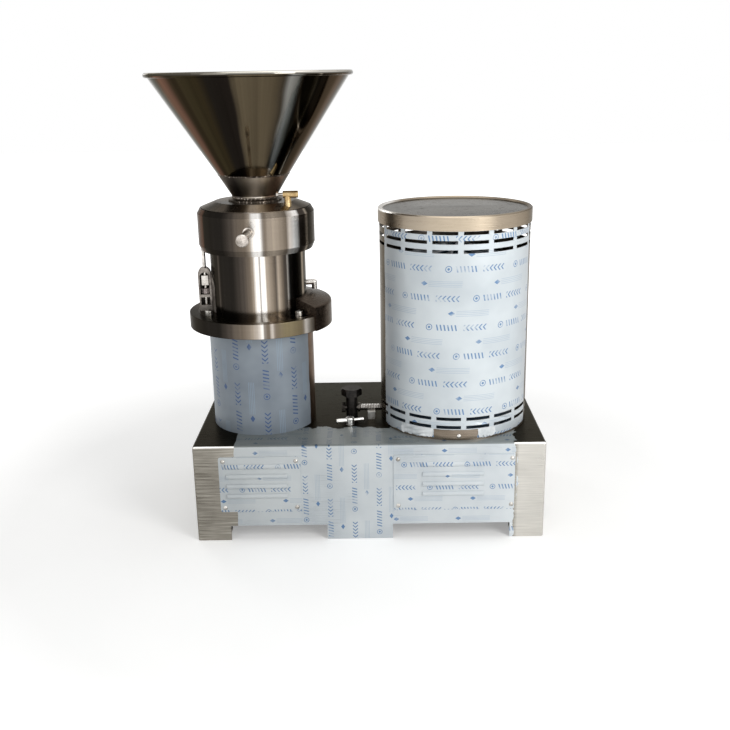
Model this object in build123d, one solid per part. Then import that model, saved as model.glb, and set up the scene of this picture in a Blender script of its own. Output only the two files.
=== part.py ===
from build123d import *
import os
from math import atan2, cos, degrees, radians, sin, sqrt

# Nut butter machine: a split colloid mill. A vertical grinding head with a steel hopper stands
# on the left of a folded sheet-steel base, and a belt drives it from a vertical motor that stands
# under a slotted round shroud on the right. Millimetres, Z up, front towards -Y.
# Azimuths are degrees about a vertical axis from the front (-Y), positive towards the right (+X).

os.makedirs("parts", exist_ok=True)

# Clearances
run_gap = 0.05          # running or sliding fit, radial
seat_gap = 0.05         # a piece seated in or on another of the same assembly, radial
free_gap = 0.3          # pieces of different assemblies that pass or nearly touch
hole_gap = 0.3          # a fastener in its plain hole, radial

# Base: one folded sheet-steel box, open below, on wide legs
base_w = 860.0
base_d = 490.0
base_h = 251.0
sheet_t = 4.0
bend_r = 6.0
skirt_gap = 39.0        # height of the gap under each skirt
corner_leg_w = 84.0
side_leg_d = 90.0
centre_leg_x = 405.0    # middle of the centre leg, from the left side
centre_leg_w = 163.0
foot_t = 6.0
foot_in = 60.0          # how far a foot plate reaches in from the wall
beam_h = 60.0
beam_flange = 30.0
beam_t = 5.0
beam_offset = 118.0     # near face of each deck beam, from the line of the two axes

# Where the two upright axes stand on the base
axis_back = 205.0       # both axes, from the front face
mill_in = 160.0         # mill axis, from the left side
motor_in = 649.0        # motor axis, from the left side

# Front cover plates with pressed louvres
cover_t = 2.0
cover_h = 145.0
cover_z = 78.0
left_cover_x = 62.0
left_cover_w = 200.0
right_cover_x = 489.0
right_cover_w = 300.0
cover_lap = 20.0        # how far a plate laps the wall round its window
cover_screw_in = 11.0
louvre_l = 149.0
louvre_h = 13.0
louvre_out = 5.0
louvre_count = 4
louvre_pitch = 26.0
louvre_low = 42.0       # lowest louvre, above the plate's lower edge
left_louvre_x = 18.0    # start of the louvres, from the plate's left edge
right_louvre_x = 71.0
screw_r = 3.0
screw_head_r = 5.5
screw_head_h = 3.2
screw_l = 10.0

# Cable gland in the back wall
gland_r = 12.5
gland_bore_r = 7.0      # where the cable is gripped, outside the wall
gland_throat_r = 9.0    # wider way through the wall
gland_grip = 1.0        # start of the grip, out from the wall
gland_x = 700.0
gland_z = 150.0
gland_out = 24.0
gland_in = 14.0

# Bearing pedestal under the mill
pedestal_r = 131.0
pedestal_wall = 8.0
pedestal_h = 259.0
pedestal_foot_t = 15.0
pedestal_foot_in = 80.0
pedestal_top_t = 30.0
pedestal_bolt_pcr = 105.0
pedestal_bolt_r = 6.0
pedestal_bolt_n = 4

# Bearing housing and the two sealed ball bearings
housing_r = 68.0
housing_flange_r = 100.0
housing_flange_t = 16.0
housing_bore_r = 50.0
housing_rise = 11.0     # lower end of the housing, above the deck
shoulder_t = 7.0
upper_bore_r = 25.0
upper_od_r = 55.0
upper_w = 27.0
lower_bore_r = 20.0
lower_od_r = 45.0
lower_w = 23.0
bearing_ring_share = 0.28
bearing_shield_t = 1.5
cap_plate_t = 8.0
cap_spigot_h = 12.5

# Flange disc on the pedestal, and the mill body on it
disc_rim = 21.0         # disc's edge, beyond the body's foot flange
disc_t = 37.0
disc_round = 1.5
seal_r = 40.0
seal_h = 24.0
seal_inset = 2.0
disc_boss_h = 12.5
body_r = 118.0
body_wall = 10.0
body_show = 154.0       # height of the body between the disc and the ring
body_thread_h = 47.0    # threaded top of the body, inside the ring
body_foot_out = 38.0    # foot flange, beyond the body
body_foot_t = 8.0
body_bolt_out = 22.0
body_bolt_az = [-58.0, 48.0, 122.0, -122.0]
body_bolt_r = 6.0
body_bolt_head_r = 9.0
body_bolt_head_h = 12.0
window_z = 5.0          # discharge windows, above the disc
window_h = 26.0
window_arc = 34.0
window_az = [90.0, 135.0, 180.0]
key_r = 5.0
key_z = 21.0            # guide keys, above the ring's underside
key_in = 6.5

# Discharge hood round the disc's right and back, and the spout at the back
hood_t = 3.0
hood_from = 54.0
hood_to = 214.0
hood_edge_h = 21.0      # outer edge of the roof, above the disc
hood_rise = 17.0
hood_round = 9.0
spout_w = 84.0
spout_h = 40.0
spout_reach = 315.0     # end of the spout, from the mill axis
spout_slope = 16.0

# Adjusting ring with its two handles and the retaining ring
ring_wall = 10.0        # wall round the ring's recess
ring_h = 102.0
ring_bevel_out = 7.0
ring_bevel_h = 12.0
ring_foot_out = 6.0
ring_foot_h = 14.0
ledge_in = 5.5          # ring's inner ledge, inside the body's outer face
ledge_gap = 1.0         # ledge above the body's top
ledge_t = 6.0
recess_out = 11.0       # ring's recess, beyond the carrier's flange
retainer_t = 11.5
retainer_screw_in = 5.4 # screw circle, inside the recess
retainer_screw_n = 6
retainer_screw_r = 2.5
handle_az = [-1.0, 179.0]
handle_z = 58.0         # handle axis, above the ring's underside
handle_l = 110.0
handle_shank_r = 10.5
handle_collar_r = 13.5
handle_collar_l = 6.0
handle_knob_r = 14.3
handle_knob_l = 20.0
handle_spigot_r = 8.0
handle_spigot_l = 9.0
lift_travel = 2.0       # how far the stator lifts as the ring makes half a turn

# Stator carrier, stator, feed cover
carrier_clear = 40.0    # carrier's lower end, above the disc
carrier_wall = 10.0
carrier_flange_out = 4.0 # carrier's flange, beyond the body
carrier_flange_t = 14.0
carrier_hub_h = 15.0
carrier_ledge_in = 8.0
carrier_ledge_t = 10.0
jacket_deep = 5.0
jacket_z0 = 12.0        # jacket, above the carrier's lower end
jacket_h = 100.0
o_ring_r = 1.8
o_ring_z = [6.0, 120.0]
stator_h = 102.0
stator_top_r = 52.0
stator_foot_r = 66.0
cover_edge_t = 16.5
cover_cone_w = 35.0     # width of the cover's sloping edge
cover_rise = 15.0       # top of the cover, above the ring
throat_r = 54.0
throat_wall = 6.0
cover_spigot_h = 10.0

# Hopper
neck_r = 56.0
neck_h = 13.0
seam_r = 87.0           # weld between the hopper's steep lower cone and its wide upper one
seam_h = 63.0           # seam, above the cover
hopper_h = 295.0        # from the cover to the middle of the rim bead
hopper_rim_r = 246.0
bead_r = 6.0
hopper_t = 2.0
spigot_h = 12.0
collar_r = 65.0
collar_h = 6.0

# Spindle, rotor, impeller and feed screw
spindle_low_r = 19.0
spindle_mid_r = 29.0
spindle_top_r = 20.0
spindle_thread_r = 12.0
spindle_thread_h = 24.0
rotor_gap = 0.6         # rotor to stator, radial, with the ring fully down
tooth_n = 24
groove_w = 5.0
groove_deep = 3.5
groove_skew = 14.0
impeller_clear = 20.0   # impeller's rim, inside the body's bore
impeller_hub_r = 32.0
impeller_lift = 4.0
impeller_disc_t = 4.0
impeller_h = 30.0
blade_n = 6
blade_t = 5.0
blade_sweep = 22.0
auger_r = 47.0
auger_hub_r = 17.0
auger_h = 92.0
auger_t = 6.0
auger_twist = 210.0
auger_nose_h = 26.0

# Belt drive under the deck
pulley_r = 75.0
pulley_z = 150.0
groove_n = 3
groove_pitch = 19.0
groove_top = 8.6        # half width of a groove at the rim
groove_foot = 4.8
groove_depth = 13.0
pulley_lip = 3.0
belt_low = 2.0          # belt's inner face, above the groove's floor
belt_drop = 0.4         # belt's outer face, below the rim
belt_side = 0.35        # belt to groove wall

# Motor on its sliding plate
plate_r = 160.0
plate_t = 15.0
plate_hole_r = 62.0
clamp_pcr = 143.0
clamp_r = 6.0
slot_l = 26.0
slide_travel = 10.0
flange_r = 125.0
flange_t = 16.0
flange_spigot_h = 4.0
shield_h = 18.0
frame_r = 100.0
frame_wall = 10.0
frame_h = 300.0
fin_r = 118.0
fin_n = 28
fin_t = 3.0
core_r = 61.5
core_gap = 0.6
core_z0 = 50.0          # laminations, above the frame's lower end
core_h = 190.0
winding_h = 22.0
winding_in = 4.0
shaft_r = 21.0
journal_r = 20.0
shaft_step = 6.0        # thick middle of the shaft, beyond its drive end
shaft_drop = 117.0      # shaft end, below the motor flange
top_shield_t = 22.0
shield_hub_w = 24.0     # hub wall round a shaft bearing
shield_hub_h = 14.0
top_hub_w = 22.0
top_hub_h = 16.0
seal_lip_w = 6.0
seal_lip_h = 8.0
fan_cover_h = 86.0
fan_cover_t = 2.0
fan_r = 98.0
fan_h = 28.0
fan_t = 3.0
fan_hub_r = 28.0
fan_blades = 7
fan_shaft_r = 14.0
box_w = 100.0
box_h = 110.0
box_out = 46.0
box_round = 8.0
box_neck_w = 50.0
box_neck_in = 20.0
box_up = 105.0          # box's lower end, above the frame's

# Slotted shroud over the motor, with its lid
shroud_r = 186.0
shroud_t = 2.0
cap_r = 189.5
cap_t = 2.0
cap_z0 = 511.0          # lid's lower edge, above the deck
cap_band_h = 34.0
cap_bead_w = 9.0
cap_dish = 4.0
vent_n = 16
vent_arc = 18.5
vent_h = 8.0
vent_top_rows = [506.0, 484.5, 463.3]
vent_top_phase = 11.0
vent_foot_rows = [54.2, 33.0]
vent_foot_phase = 14.7
foot_ring_in = 172.0
foot_ring_t = 3.0
foot_ring_h = 18.0

# Belt tensioner on the deck, between the mill and the shroud
post_x = 386.0
post_r = 15.0
post_h = 58.0
post_head_af = 46.0
post_head_h = 19.0
post_stud_r = 10.0
tension_z = 23.5        # screw axis, above the deck
tension_r = 8.0
tension_head_af = 24.0
tension_head_t = 10.0
tension_collar_r = 12.0
tension_collar_t = 6.0
tension_end = 512.0     # screw tip, from the left side
lug_x = 492.0
lug_t = 16.0
lug_w = 34.0
lug_h = 38.0            # top of the lug, above the deck
tension_hole_gap = 1.3
block_x = 437.0
block_back = 185.0
block_side = 20.0
block_h = 20.0
lever_x = 382.0
lever_back = 139.0
lever_bar_r = 6.0       # thick left end of the cross bar
lever_tip_r = 4.2       # thin right end
lever_bar_l = 72.0
lever_grip_l = 30.0     # thick length
lever_boss_r = 11.0
lever_boss_h = 20.0
lever_turn = 13.0
stud_r = 6.0
nut_af = 19.0
nut_h = 10.0

# Lock for the adjusting ring, on the disc's left
lock_az = -84.0
lock_out = 16.0         # lock rod, beyond the body
lock_rod_r = 4.5
lock_depth = 31.4       # yoke, along the radius
lock_w = 26.0
lock_h = 108.0
lock_wall = 4.2
lock_foot_h = 14.0
lock_bar_z = 34.0
lock_bar_t = 7.0
lock_nut_r = 10.0
lock_nut_h = 14.0
lock_guide_z = 64.0
lock_guide_h = 24.0
lock_guide_w = 19.0
lock_pad_r = 6.0
lock_pad_h = 4.0
knurl_n = 16

# Cooling-water fittings, one into the body and one out of the cover
inlet_az = 103.0
inlet_z = 57.0          # above the disc
inlet_r = 7.0
inlet_bore_r = 4.0
inlet_out = 22.0
inlet_drop = 17.0
inlet_seat = 4.0        # how far the inlet's pipe seats in the body
outlet_az = 50.0
outlet_in = 21.0        # outlet, inside the ring's recess
outlet_stem_r = 8.0
outlet_stem_h = 30.0
outlet_barrel_r = 8.5
outlet_barrel_l = 36.0
outlet_bore_r = 5.5
outlet_bore_l = 20.0
plug_r = 4.0
plug_l = 16.0
plug_in = 6.0


# Radii of the grinding head, outwards and inwards from the body
body_bore_r = body_r - body_wall
body_foot_r = body_r + body_foot_out
body_bolt_pcr = body_r + body_bolt_out
disc_r = body_foot_r + disc_rim
ledge_r = body_r - ledge_in
carrier_bore_r = body_bore_r - carrier_wall
carrier_ledge_r = carrier_bore_r - carrier_ledge_in
carrier_flange_r = body_r + carrier_flange_out
jacket_r = body_bore_r - jacket_deep
recess_r = carrier_flange_r + recess_out
ring_r = recess_r + ring_wall
retainer_screw_pcr = recess_r - retainer_screw_in
cover_flat_r = recess_r - cover_cone_w
outlet_r = recess_r - outlet_in
impeller_r = body_bore_r - impeller_clear
lock_r = body_r + lock_out

# Levels above the floor, from the driving dimensions
deck_z = base_h
deck_under = deck_z - sheet_t
pedestal_top = deck_z + pedestal_h
disc_top = pedestal_top + disc_t
ring_foot = disc_top + body_show
ring_top = ring_foot + ring_h
body_top = ring_foot + body_thread_h
cover_top = ring_top + cover_rise
bead_z = cover_top + hopper_h
carrier_foot = disc_top + carrier_clear
ledge_z = body_top + ledge_gap
flange_seat = ledge_z + ledge_t
retainer_z = flange_seat + carrier_flange_t + free_gap
hub_top = flange_seat + carrier_flange_t + carrier_hub_h
stator_top = carrier_foot + stator_h + 1.0
plate_top = deck_z + plate_t
motor_foot = plate_top
frame_foot = motor_foot + flange_t + shield_h
frame_top = frame_foot + frame_h
box_foot = frame_foot + box_up
cap_foot = deck_z + cap_z0
cap_top = cap_foot + cap_band_h
pulley_h = groove_n * groove_pitch + 2 * pulley_lip

# The frame's origin is the middle of the whole machine's footprint, at the floor. The hopper rim
# overhangs the base on the left, a handle in front and the spout behind.
reach_left = max(hopper_rim_r - mill_in, 0)
reach_front = max(ring_r + handle_l - axis_back, hopper_rim_r - axis_back, 0)
reach_back = max(axis_back + spout_reach - base_d, 0)
base_x0 = reach_left - (base_w + reach_left) / 2
base_y0 = reach_front - (base_d + reach_front + reach_back) / 2
mill_x = base_x0 + mill_in
motor_x = base_x0 + motor_in
axis_y = base_y0 + axis_back
base_cx = base_x0 + base_w / 2
base_cy = base_y0 + base_d / 2

LOW = (Align.CENTER, Align.CENTER, Align.MIN)
nodes = {}


def rod(r, z0, z1):
    """Upright solid cylinder between two levels."""
    return Pos(0, 0, z0) * Cylinder(r, z1 - z0, align=LOW)


def tube(r_out, r_in, z0, z1):
    """Upright tube between two levels."""
    return rod(r_out, z0, z1) - rod(r_in, z0 - 1, z1 + 1)


def block(x0, x1, y0, y1, z0, z1):
    """Box between two corners."""
    low = (Align.MIN, Align.MIN, Align.MIN)
    return Pos(x0, y0, z0) * Box(x1 - x0, y1 - y0, z1 - z0, align=low)


def outline(points):
    """Face in the XZ plane from (radius, level) points."""
    return Plane.XZ * make_face(Polyline(*points, close=True))


def spun(points, arc=360.0):
    """Revolve a (radius, level) outline about Z."""
    return revolve(outline(points), Axis.Z, revolution_arc=arc)


def turn(azimuth):
    """Turn something built along +X to an azimuth."""
    return Rot(0, 0, azimuth - 90)


def sector(r_in, r_out, z0, z1, azimuth, arc):
    """Ring sector centred on an azimuth."""
    piece = spun([(r_in, z0), (r_out, z0), (r_out, z1), (r_in, z1)], arc)
    return turn(azimuth - arc / 2) * piece


def hexagon(across_flats, z0, z1):
    """Upright hexagonal prism."""
    face = RegularPolygon(across_flats / 2, 6, major_radius=False)
    return Pos(0, 0, z0) * extrude(face, z1 - z0)


def around(shape, count, start=0.0):
    """Copies of a shape about Z, the first turned to a start angle."""
    return [Rot(0, 0, start + 360 * i / count) * shape for i in range(count)]


def mill(shape):
    """Place something built about the Z axis on the mill's axis."""
    return Pos(mill_x, axis_y, 0) * shape


def motor(shape):
    """Place something built about the Z axis on the motor's axis."""
    return Pos(motor_x, axis_y, 0) * shape


def keep(name, *solids):
    """Keep one node, as one solid or a group of separate solids."""
    nodes[name] = solids[0] if len(solids) == 1 else Compound(children=list(solids))


# Fastener places on the deck, shared by the holes and what goes in them
clamp_places = []
for quarter in range(4):
    angle = radians(45 + 90 * quarter)
    clamp_places.append((motor_x + clamp_pcr * cos(angle), axis_y + clamp_pcr * sin(angle)))
block_place = (base_x0 + block_x, base_y0 + block_back)
lever_place = (base_x0 + lever_x, base_y0 + lever_back)
post_place = (base_x0 + post_x, axis_y)
left_cover = (base_x0 + left_cover_x, left_cover_w, left_louvre_x)
right_cover = (base_x0 + right_cover_x, right_cover_w, right_louvre_x)


def cover_screw_places(cover):
    """Corner screw centres (x, z) of one cover plate."""
    x0, width, louvre_x = cover
    xs = (x0 + cover_screw_in, x0 + width - cover_screw_in)
    zs = (cover_z + cover_screw_in, cover_z + cover_h - cover_screw_in)
    return [(x, z) for x in xs for z in zs]


def front_rod(r, x, z, y0, y1):
    """Cylinder along Y between two depths."""
    return Pos(x, y1, z) * Rot(90, 0, 0) * Cylinder(r, y1 - y0, align=LOW)


def base_frame():
    outer = Pos(base_cx, base_cy, 0) * Box(base_w, base_d, base_h, align=LOW)
    upright = outer.edges().filter_by(Axis.Z)
    outer = fillet(upright + outer.faces().sort_by(Axis.Z)[-1].edges(), bend_r)
    inner_w = base_w - 2 * sheet_t
    inner_d = base_d - 2 * sheet_t
    inner = Pos(base_cx, base_cy, 0) * Box(inner_w, inner_d, deck_under, align=LOW)
    inner = fillet(inner.edges().filter_by(Axis.Z), bend_r - sheet_t)
    frame = outer - inner
    leg_left = base_x0 + centre_leg_x - centre_leg_w / 2
    leg_right = leg_left + centre_leg_w
    y0, y1 = base_y0 - 1, base_y0 + base_d + 1
    frame -= block(base_x0 + corner_leg_w, leg_left, y0, y1, -1, skirt_gap)
    frame -= block(leg_right, base_x0 + base_w - corner_leg_w, y0, y1, -1, skirt_gap)
    side_y0 = base_y0 + side_leg_d
    side_y1 = base_y0 + base_d - side_leg_d
    frame -= block(base_x0 - 1, base_x0 + base_w + 1, side_y0, side_y1, -1, skirt_gap)
    for cover in (left_cover, right_cover):
        x0, width, louvre_x = cover
        window_x1 = x0 + width - cover_lap
        window_top = cover_z + cover_h - cover_lap
        wall = base_y0 + sheet_t + 1
        frame -= block(x0 + cover_lap, window_x1, y0, wall, cover_z + cover_lap, window_top)
        for x, z in cover_screw_places(cover):
            frame -= front_rod(screw_r + hole_gap, x, z, y0, wall)
    back = base_y0 + base_d
    frame -= front_rod(gland_r + hole_gap, base_x0 + gland_x, gland_z, back - sheet_t - 1, back + 1)
    frame -= mill(rod(pedestal_foot_in, deck_under - 1, deck_z + 1))
    frame -= motor(rod(pulley_r + slide_travel + 3, deck_under - 1, deck_z + 1))
    bolt = rod(pedestal_bolt_r + hole_gap, deck_under - 1, deck_z + 1)
    for hole in around(Pos(pedestal_bolt_pcr, 0, 0) * bolt, pedestal_bolt_n, 45):
        frame -= mill(hole)
    for x, y in clamp_places + [block_place, lever_place]:
        frame -= Pos(x, y, 0) * rod(stud_r + hole_gap, deck_under - 1, deck_z + 1)
    post_hole = rod(post_stud_r + hole_gap, deck_under - 1, deck_z + 1)
    frame -= Pos(*post_place, 0) * post_hole
    return frame


def foot_plates():
    """Flat plates welded inside the legs, level with the floor."""
    plates = []
    x_in = base_x0 + sheet_t
    x_out = base_x0 + base_w - sheet_t
    y_in = base_y0 + sheet_t
    y_out = base_y0 + base_d - sheet_t
    corner = corner_leg_w - sheet_t - bend_r
    leg_left = base_x0 + centre_leg_x - centre_leg_w / 2
    spans = [(x_in, x_in + corner), (x_out - corner, x_out), (leg_left, leg_left + centre_leg_w)]
    for x0, x1 in spans:
        for y0, y1 in ((y_in, y_in + foot_in), (y_out - foot_in, y_out)):
            plate = block(x0, x1, y0, y1, 0, foot_t)
            plates.append(fillet(plate.edges().filter_by(Axis.Z), bend_r - sheet_t))
    return plates


def deck_beams():
    """Two channels under the deck, front and back of the belt, open towards each other."""
    length = base_w - 2 * sheet_t
    z0 = deck_under - beam_h
    channel = block(0, length, 0, beam_flange, z0, deck_under)
    channel -= block(-1, length + 1, -1, beam_flange - beam_t, z0 + beam_t, deck_under - beam_t)
    back = Pos(base_x0 + sheet_t, axis_y + beam_offset, 0) * channel
    front = mirror(back, Plane.XZ.offset(-axis_y))
    return back, front


def louvre_tools():
    """A pressed louvre along X from the origin: its hood, and the gap that opens it below."""
    half = louvre_h / 2
    reach = louvre_out + cover_t
    hood_arc = ThreePointArc((0, -half), (-louvre_out, 0), (0, half))
    gap_arc = ThreePointArc((1, -half + cover_t), (-louvre_out + cover_t, 0), (1, half - cover_t))
    tools = []
    for arc_line, length, start in ((hood_arc, louvre_l, 0), (gap_arc, louvre_l - 2 * cover_t, cover_t)):
        face = make_face([arc_line, Line(arc_line @ 1, arc_line @ 0)])
        tools.append(Pos(start, 0, 0) * extrude(Plane.YZ * face, length))
    mouth = block(cover_t, louvre_l - cover_t, -reach, 0, -half - 1, -half + cover_t + 1)
    gap = tools[1] + block(cover_t, louvre_l - cover_t, -louvre_out + cover_t, cover_t + 1,
                           -half + cover_t, half - cover_t)
    return tools[0], gap, mouth


def cover_plate(cover):
    """Flat plate on the front wall, with four pressed louvres that open downwards."""
    x0, width, louvre_x = cover
    face_y = base_y0 - cover_t
    plate = block(x0, x0 + width, face_y, base_y0, cover_z, cover_z + cover_h)
    plate = fillet(plate.edges().filter_by(Axis.Y), 3 * cover_t)
    hood, gap, mouth = louvre_tools()
    for i in range(louvre_count):
        at = Pos(x0 + louvre_x, face_y, cover_z + louvre_low + i * louvre_pitch)
        plate = plate + at * hood - at * gap
    for x, z in cover_screw_places(cover):
        plate -= front_rod(screw_r + hole_gap, x, z, face_y - 1, base_y0 + 1)
    return plate


def cover_screws():
    """Pan-head screws, one at each corner of both cover plates."""
    face_y = base_y0 - cover_t
    dome = (screw_head_h ** 2 + screw_head_r ** 2) / (2 * screw_head_h)
    head = Pos(0, 0, screw_head_h - dome) * Sphere(dome) & rod(screw_head_r + 1, 0, screw_head_h + 1)
    screw = head + rod(screw_r, -screw_l, 0.5)
    screws = []
    for cover in (left_cover, right_cover):
        for x, z in cover_screw_places(cover):
            screws.append(Pos(x, face_y, z) * Rot(90, 0, 0) * screw)
    return screws


def cable_gland():
    """Cable gland through the back wall, with its lock nut inside."""
    back = base_y0 + base_d
    body = rod(gland_r, -gland_in - sheet_t, gland_out)
    body += hexagon(2.4 * gland_r, 0, gland_out / 3)
    body += hexagon(2.4 * gland_r, -sheet_t - gland_in / 2, -sheet_t)
    crown = body.edges().sort_by(Axis.Z)[-1]
    body = fillet(crown, gland_r / 4)
    body -= rod(gland_throat_r, -gland_in - sheet_t - 1, gland_grip)
    body -= rod(gland_bore_r, gland_grip, gland_out + 1)
    return Pos(base_x0 + gland_x, back, gland_z) * Rot(-90, 0, 0) * body


# Base group
keep("base_frame", base_frame())
keep("foot_plates", *foot_plates())
keep("deck_beams", *deck_beams())
keep("left_cover_plate", cover_plate(left_cover))
keep("right_cover_plate", cover_plate(right_cover))
keep("cover_screws", *cover_screws())
keep("cable_gland", cable_gland())


def bearing_pedestal():
    """Round pedestal: a tube with a foot ring and a thick top ring for the bearing housing."""
    inner = pedestal_r - pedestal_wall
    top_ring = pedestal_top - pedestal_top_t
    seat = pedestal_top - housing_flange_t
    body = spun([
        (pedestal_foot_in, deck_z), (pedestal_r, deck_z), (pedestal_r, pedestal_top),
        (housing_flange_r + free_gap, pedestal_top), (housing_flange_r + free_gap, seat),
        (housing_r + seat_gap, seat), (housing_r + seat_gap, top_ring), (inner, top_ring),
        (inner, deck_z + pedestal_foot_t), (pedestal_foot_in, deck_z + pedestal_foot_t),
    ])
    bolt = rod(pedestal_bolt_r + seat_gap, deck_z - 1, deck_z + pedestal_foot_t + 1)
    for hole in around(Pos(pedestal_bolt_pcr, 0, 0) * bolt, pedestal_bolt_n, 45):
        body -= hole
    return mill(body)


def pedestal_bolts():
    """Hex bolts up through the deck into the pedestal's foot ring."""
    bolt = rod(pedestal_bolt_r, deck_under - 0.5, deck_z + pedestal_foot_t)
    bolt += hexagon(nut_af, deck_under - nut_h, deck_under)
    return [mill(b) for b in around(Pos(pedestal_bolt_pcr, 0, 0) * bolt, pedestal_bolt_n, 45)]


# Levels inside the bearing housing
housing_foot = deck_z + housing_rise
lower_seat = housing_foot + cap_spigot_h + 0.5
lower_shoulder = lower_seat + lower_w
upper_seat = pedestal_top - disc_boss_h - 0.5 - upper_w


def bearing_housing():
    """Long sleeve hung in the pedestal, with a seat for a bearing at each end."""
    flange_z = pedestal_top - housing_flange_t
    return mill(spun([
        (lower_od_r, housing_foot), (housing_r, housing_foot), (housing_r, flange_z),
        (housing_flange_r, flange_z), (housing_flange_r, pedestal_top),
        (upper_od_r, pedestal_top), (upper_od_r, upper_seat), (housing_bore_r, upper_seat),
        (housing_bore_r, lower_shoulder + shoulder_t), (lower_od_r - 5, lower_shoulder + shoulder_t),
        (lower_od_r - 5, lower_shoulder), (lower_od_r, lower_shoulder),
    ]))


def bearing_outer(bore_r, od_r, width, z0):
    """Outer ring of a sealed ball bearing, with a shield at each face."""
    ring_w = (od_r - bore_r) * bearing_ring_share
    out = od_r - seat_gap
    track = od_r - ring_w
    shield = bore_r + ring_w + free_gap
    t = bearing_shield_t
    return mill(spun([
        (shield, z0), (out, z0), (out, z0 + width), (shield, z0 + width),
        (shield, z0 + width - t), (track, z0 + width - t), (track, z0 + t), (shield, z0 + t),
    ]))


def bearing_inner(bore_r, od_r, width, z0):
    """Inner ring of a sealed ball bearing."""
    ring_w = (od_r - bore_r) * bearing_ring_share
    return mill(tube(bore_r + ring_w, bore_r + seat_gap, z0, z0 + width))


def lower_bearing_cap():
    """Turned cap under the lower bearing."""
    bore = lower_bore_r + free_gap
    return mill(spun([
        (bore, housing_foot - cap_plate_t), (housing_r, housing_foot - cap_plate_t),
        (housing_r, housing_foot), (lower_od_r - free_gap, housing_foot),
        (lower_od_r - free_gap, housing_foot + cap_spigot_h), (bore, housing_foot + cap_spigot_h),
    ]))


def mill_flange():
    """Thick turned disc on the pedestal: floor of the grinding chamber and seat of the body."""
    recess_z = disc_top - body_foot_t
    foot_seat_r = body_foot_r + free_gap
    boss_r = upper_od_r - free_gap
    disc = spun([
        (seal_r, pedestal_top - disc_boss_h), (boss_r, pedestal_top - disc_boss_h),
        (boss_r, pedestal_top), (disc_r, pedestal_top), (disc_r, disc_top),
        (foot_seat_r, disc_top), (foot_seat_r, recess_z), (body_bore_r, recess_z),
        (body_bore_r, disc_top), (seal_r, disc_top),
    ])
    rim = disc.edges().filter_by(GeomType.CIRCLE).filter_by(lambda e: abs(e.radius - disc_r) < 0.01)
    disc = fillet(rim, disc_round)
    for azimuth in body_bolt_az:
        hole = rod(body_bolt_r + seat_gap, pedestal_top + disc_t / 4, disc_top + 1)
        disc -= turn(azimuth) * Pos(body_bolt_pcr, 0, 0) * hole
    return mill(disc)


def shaft_seal():
    """Lip seal round the spindle, in the disc's bore."""
    z1 = disc_top - seal_inset
    lip = upper_bore_r + run_gap
    return mill(spun([
        (lip + 3, z1 - seal_h), (seal_r - seat_gap, z1 - seal_h), (seal_r - seat_gap, z1),
        (lip + 3, z1), (lip, z1 - 3), (lip, z1 - 6), (lip + 3, z1 - 9),
    ]))


def mill_body():
    """Turned body with a foot flange, discharge windows low down and a threaded top."""
    body = spun([
        (body_bore_r, disc_top - body_foot_t), (body_foot_r, disc_top - body_foot_t),
        (body_foot_r, disc_top), (body_r, disc_top), (body_r, body_top), (body_bore_r, body_top),
    ])
    window_foot = disc_top + window_z
    for azimuth in window_az:
        body -= sector(body_bore_r - 1, body_r + 1, window_foot, window_foot + window_h,
                       azimuth, window_arc)
    for azimuth in body_bolt_az:
        hole = rod(body_bolt_r + hole_gap, disc_top - body_foot_t - 1, disc_top + 1)
        body -= turn(azimuth) * Pos(body_bolt_pcr, 0, 0) * hole
    for azimuth in (-90, 90):
        key_hole = radial_rod(key_r + seat_gap, body_bore_r - 1, body_r + 1, ring_foot + key_z)
        body -= turn(azimuth) * key_hole
    body -= turn(inlet_az) * radial_rod(inlet_bore_r, body_bore_r - 1, body_r + 1, disc_top + inlet_z)
    body -= turn(inlet_az) * radial_rod(
        inlet_r + seat_gap, body_r - inlet_seat - seat_gap, body_r + 1, disc_top + inlet_z)
    return mill(body)


def radial_rod(r, x0, x1, z):
    """Cylinder along X between two radii at a level."""
    return Pos(x0, 0, z) * Rot(0, 90, 0) * Cylinder(r, x1 - x0, align=LOW)


def body_bolts():
    """Socket-head cap screws that hold the body's foot to the disc."""
    bolt = rod(body_bolt_r, disc_top - body_foot_t - 14, disc_top + 1)
    head = rod(body_bolt_head_r, disc_top, disc_top + body_bolt_head_h)
    head = fillet(head.edges().sort_by(Axis.Z)[-1], 1)
    head -= hexagon(body_bolt_head_r, disc_top + body_bolt_head_h / 2, disc_top + body_bolt_head_h + 1)
    bolt += head
    return [mill(turn(a) * Pos(body_bolt_pcr, 0, 0) * bolt) for a in body_bolt_az]


def guide_keys():
    """Round keys through the body wall that let the carrier slide but not turn."""
    keys = []
    for azimuth in (-90, 90):
        key = radial_rod(key_r, body_bore_r - key_in, body_r - seat_gap, ring_foot + key_z)
        keys.append(mill(turn(azimuth) * key))
    return keys


# Bearing, disc and body group
keep("bearing_pedestal", bearing_pedestal())
keep("pedestal_bolts", *pedestal_bolts())
keep("bearing_housing", bearing_housing())
keep("bearing_outer_rings",
     bearing_outer(upper_bore_r, upper_od_r, upper_w, upper_seat),
     bearing_outer(lower_bore_r, lower_od_r, lower_w, lower_seat))
keep("lower_bearing_cap", lower_bearing_cap())
keep("mill_flange", mill_flange())
keep("shaft_seal", shaft_seal())
keep("mill_body", mill_body())
keep("body_bolts", *body_bolts())
keep("guide_keys", *guide_keys())


# Hood: its roof meets the body's wall, its skirt wraps the disc's rim
hood_in = disc_r + free_gap
hood_out = hood_in + hood_t
hood_edge_z = disc_top + hood_edge_h
hood_top_z = hood_edge_z + hood_rise


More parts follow.
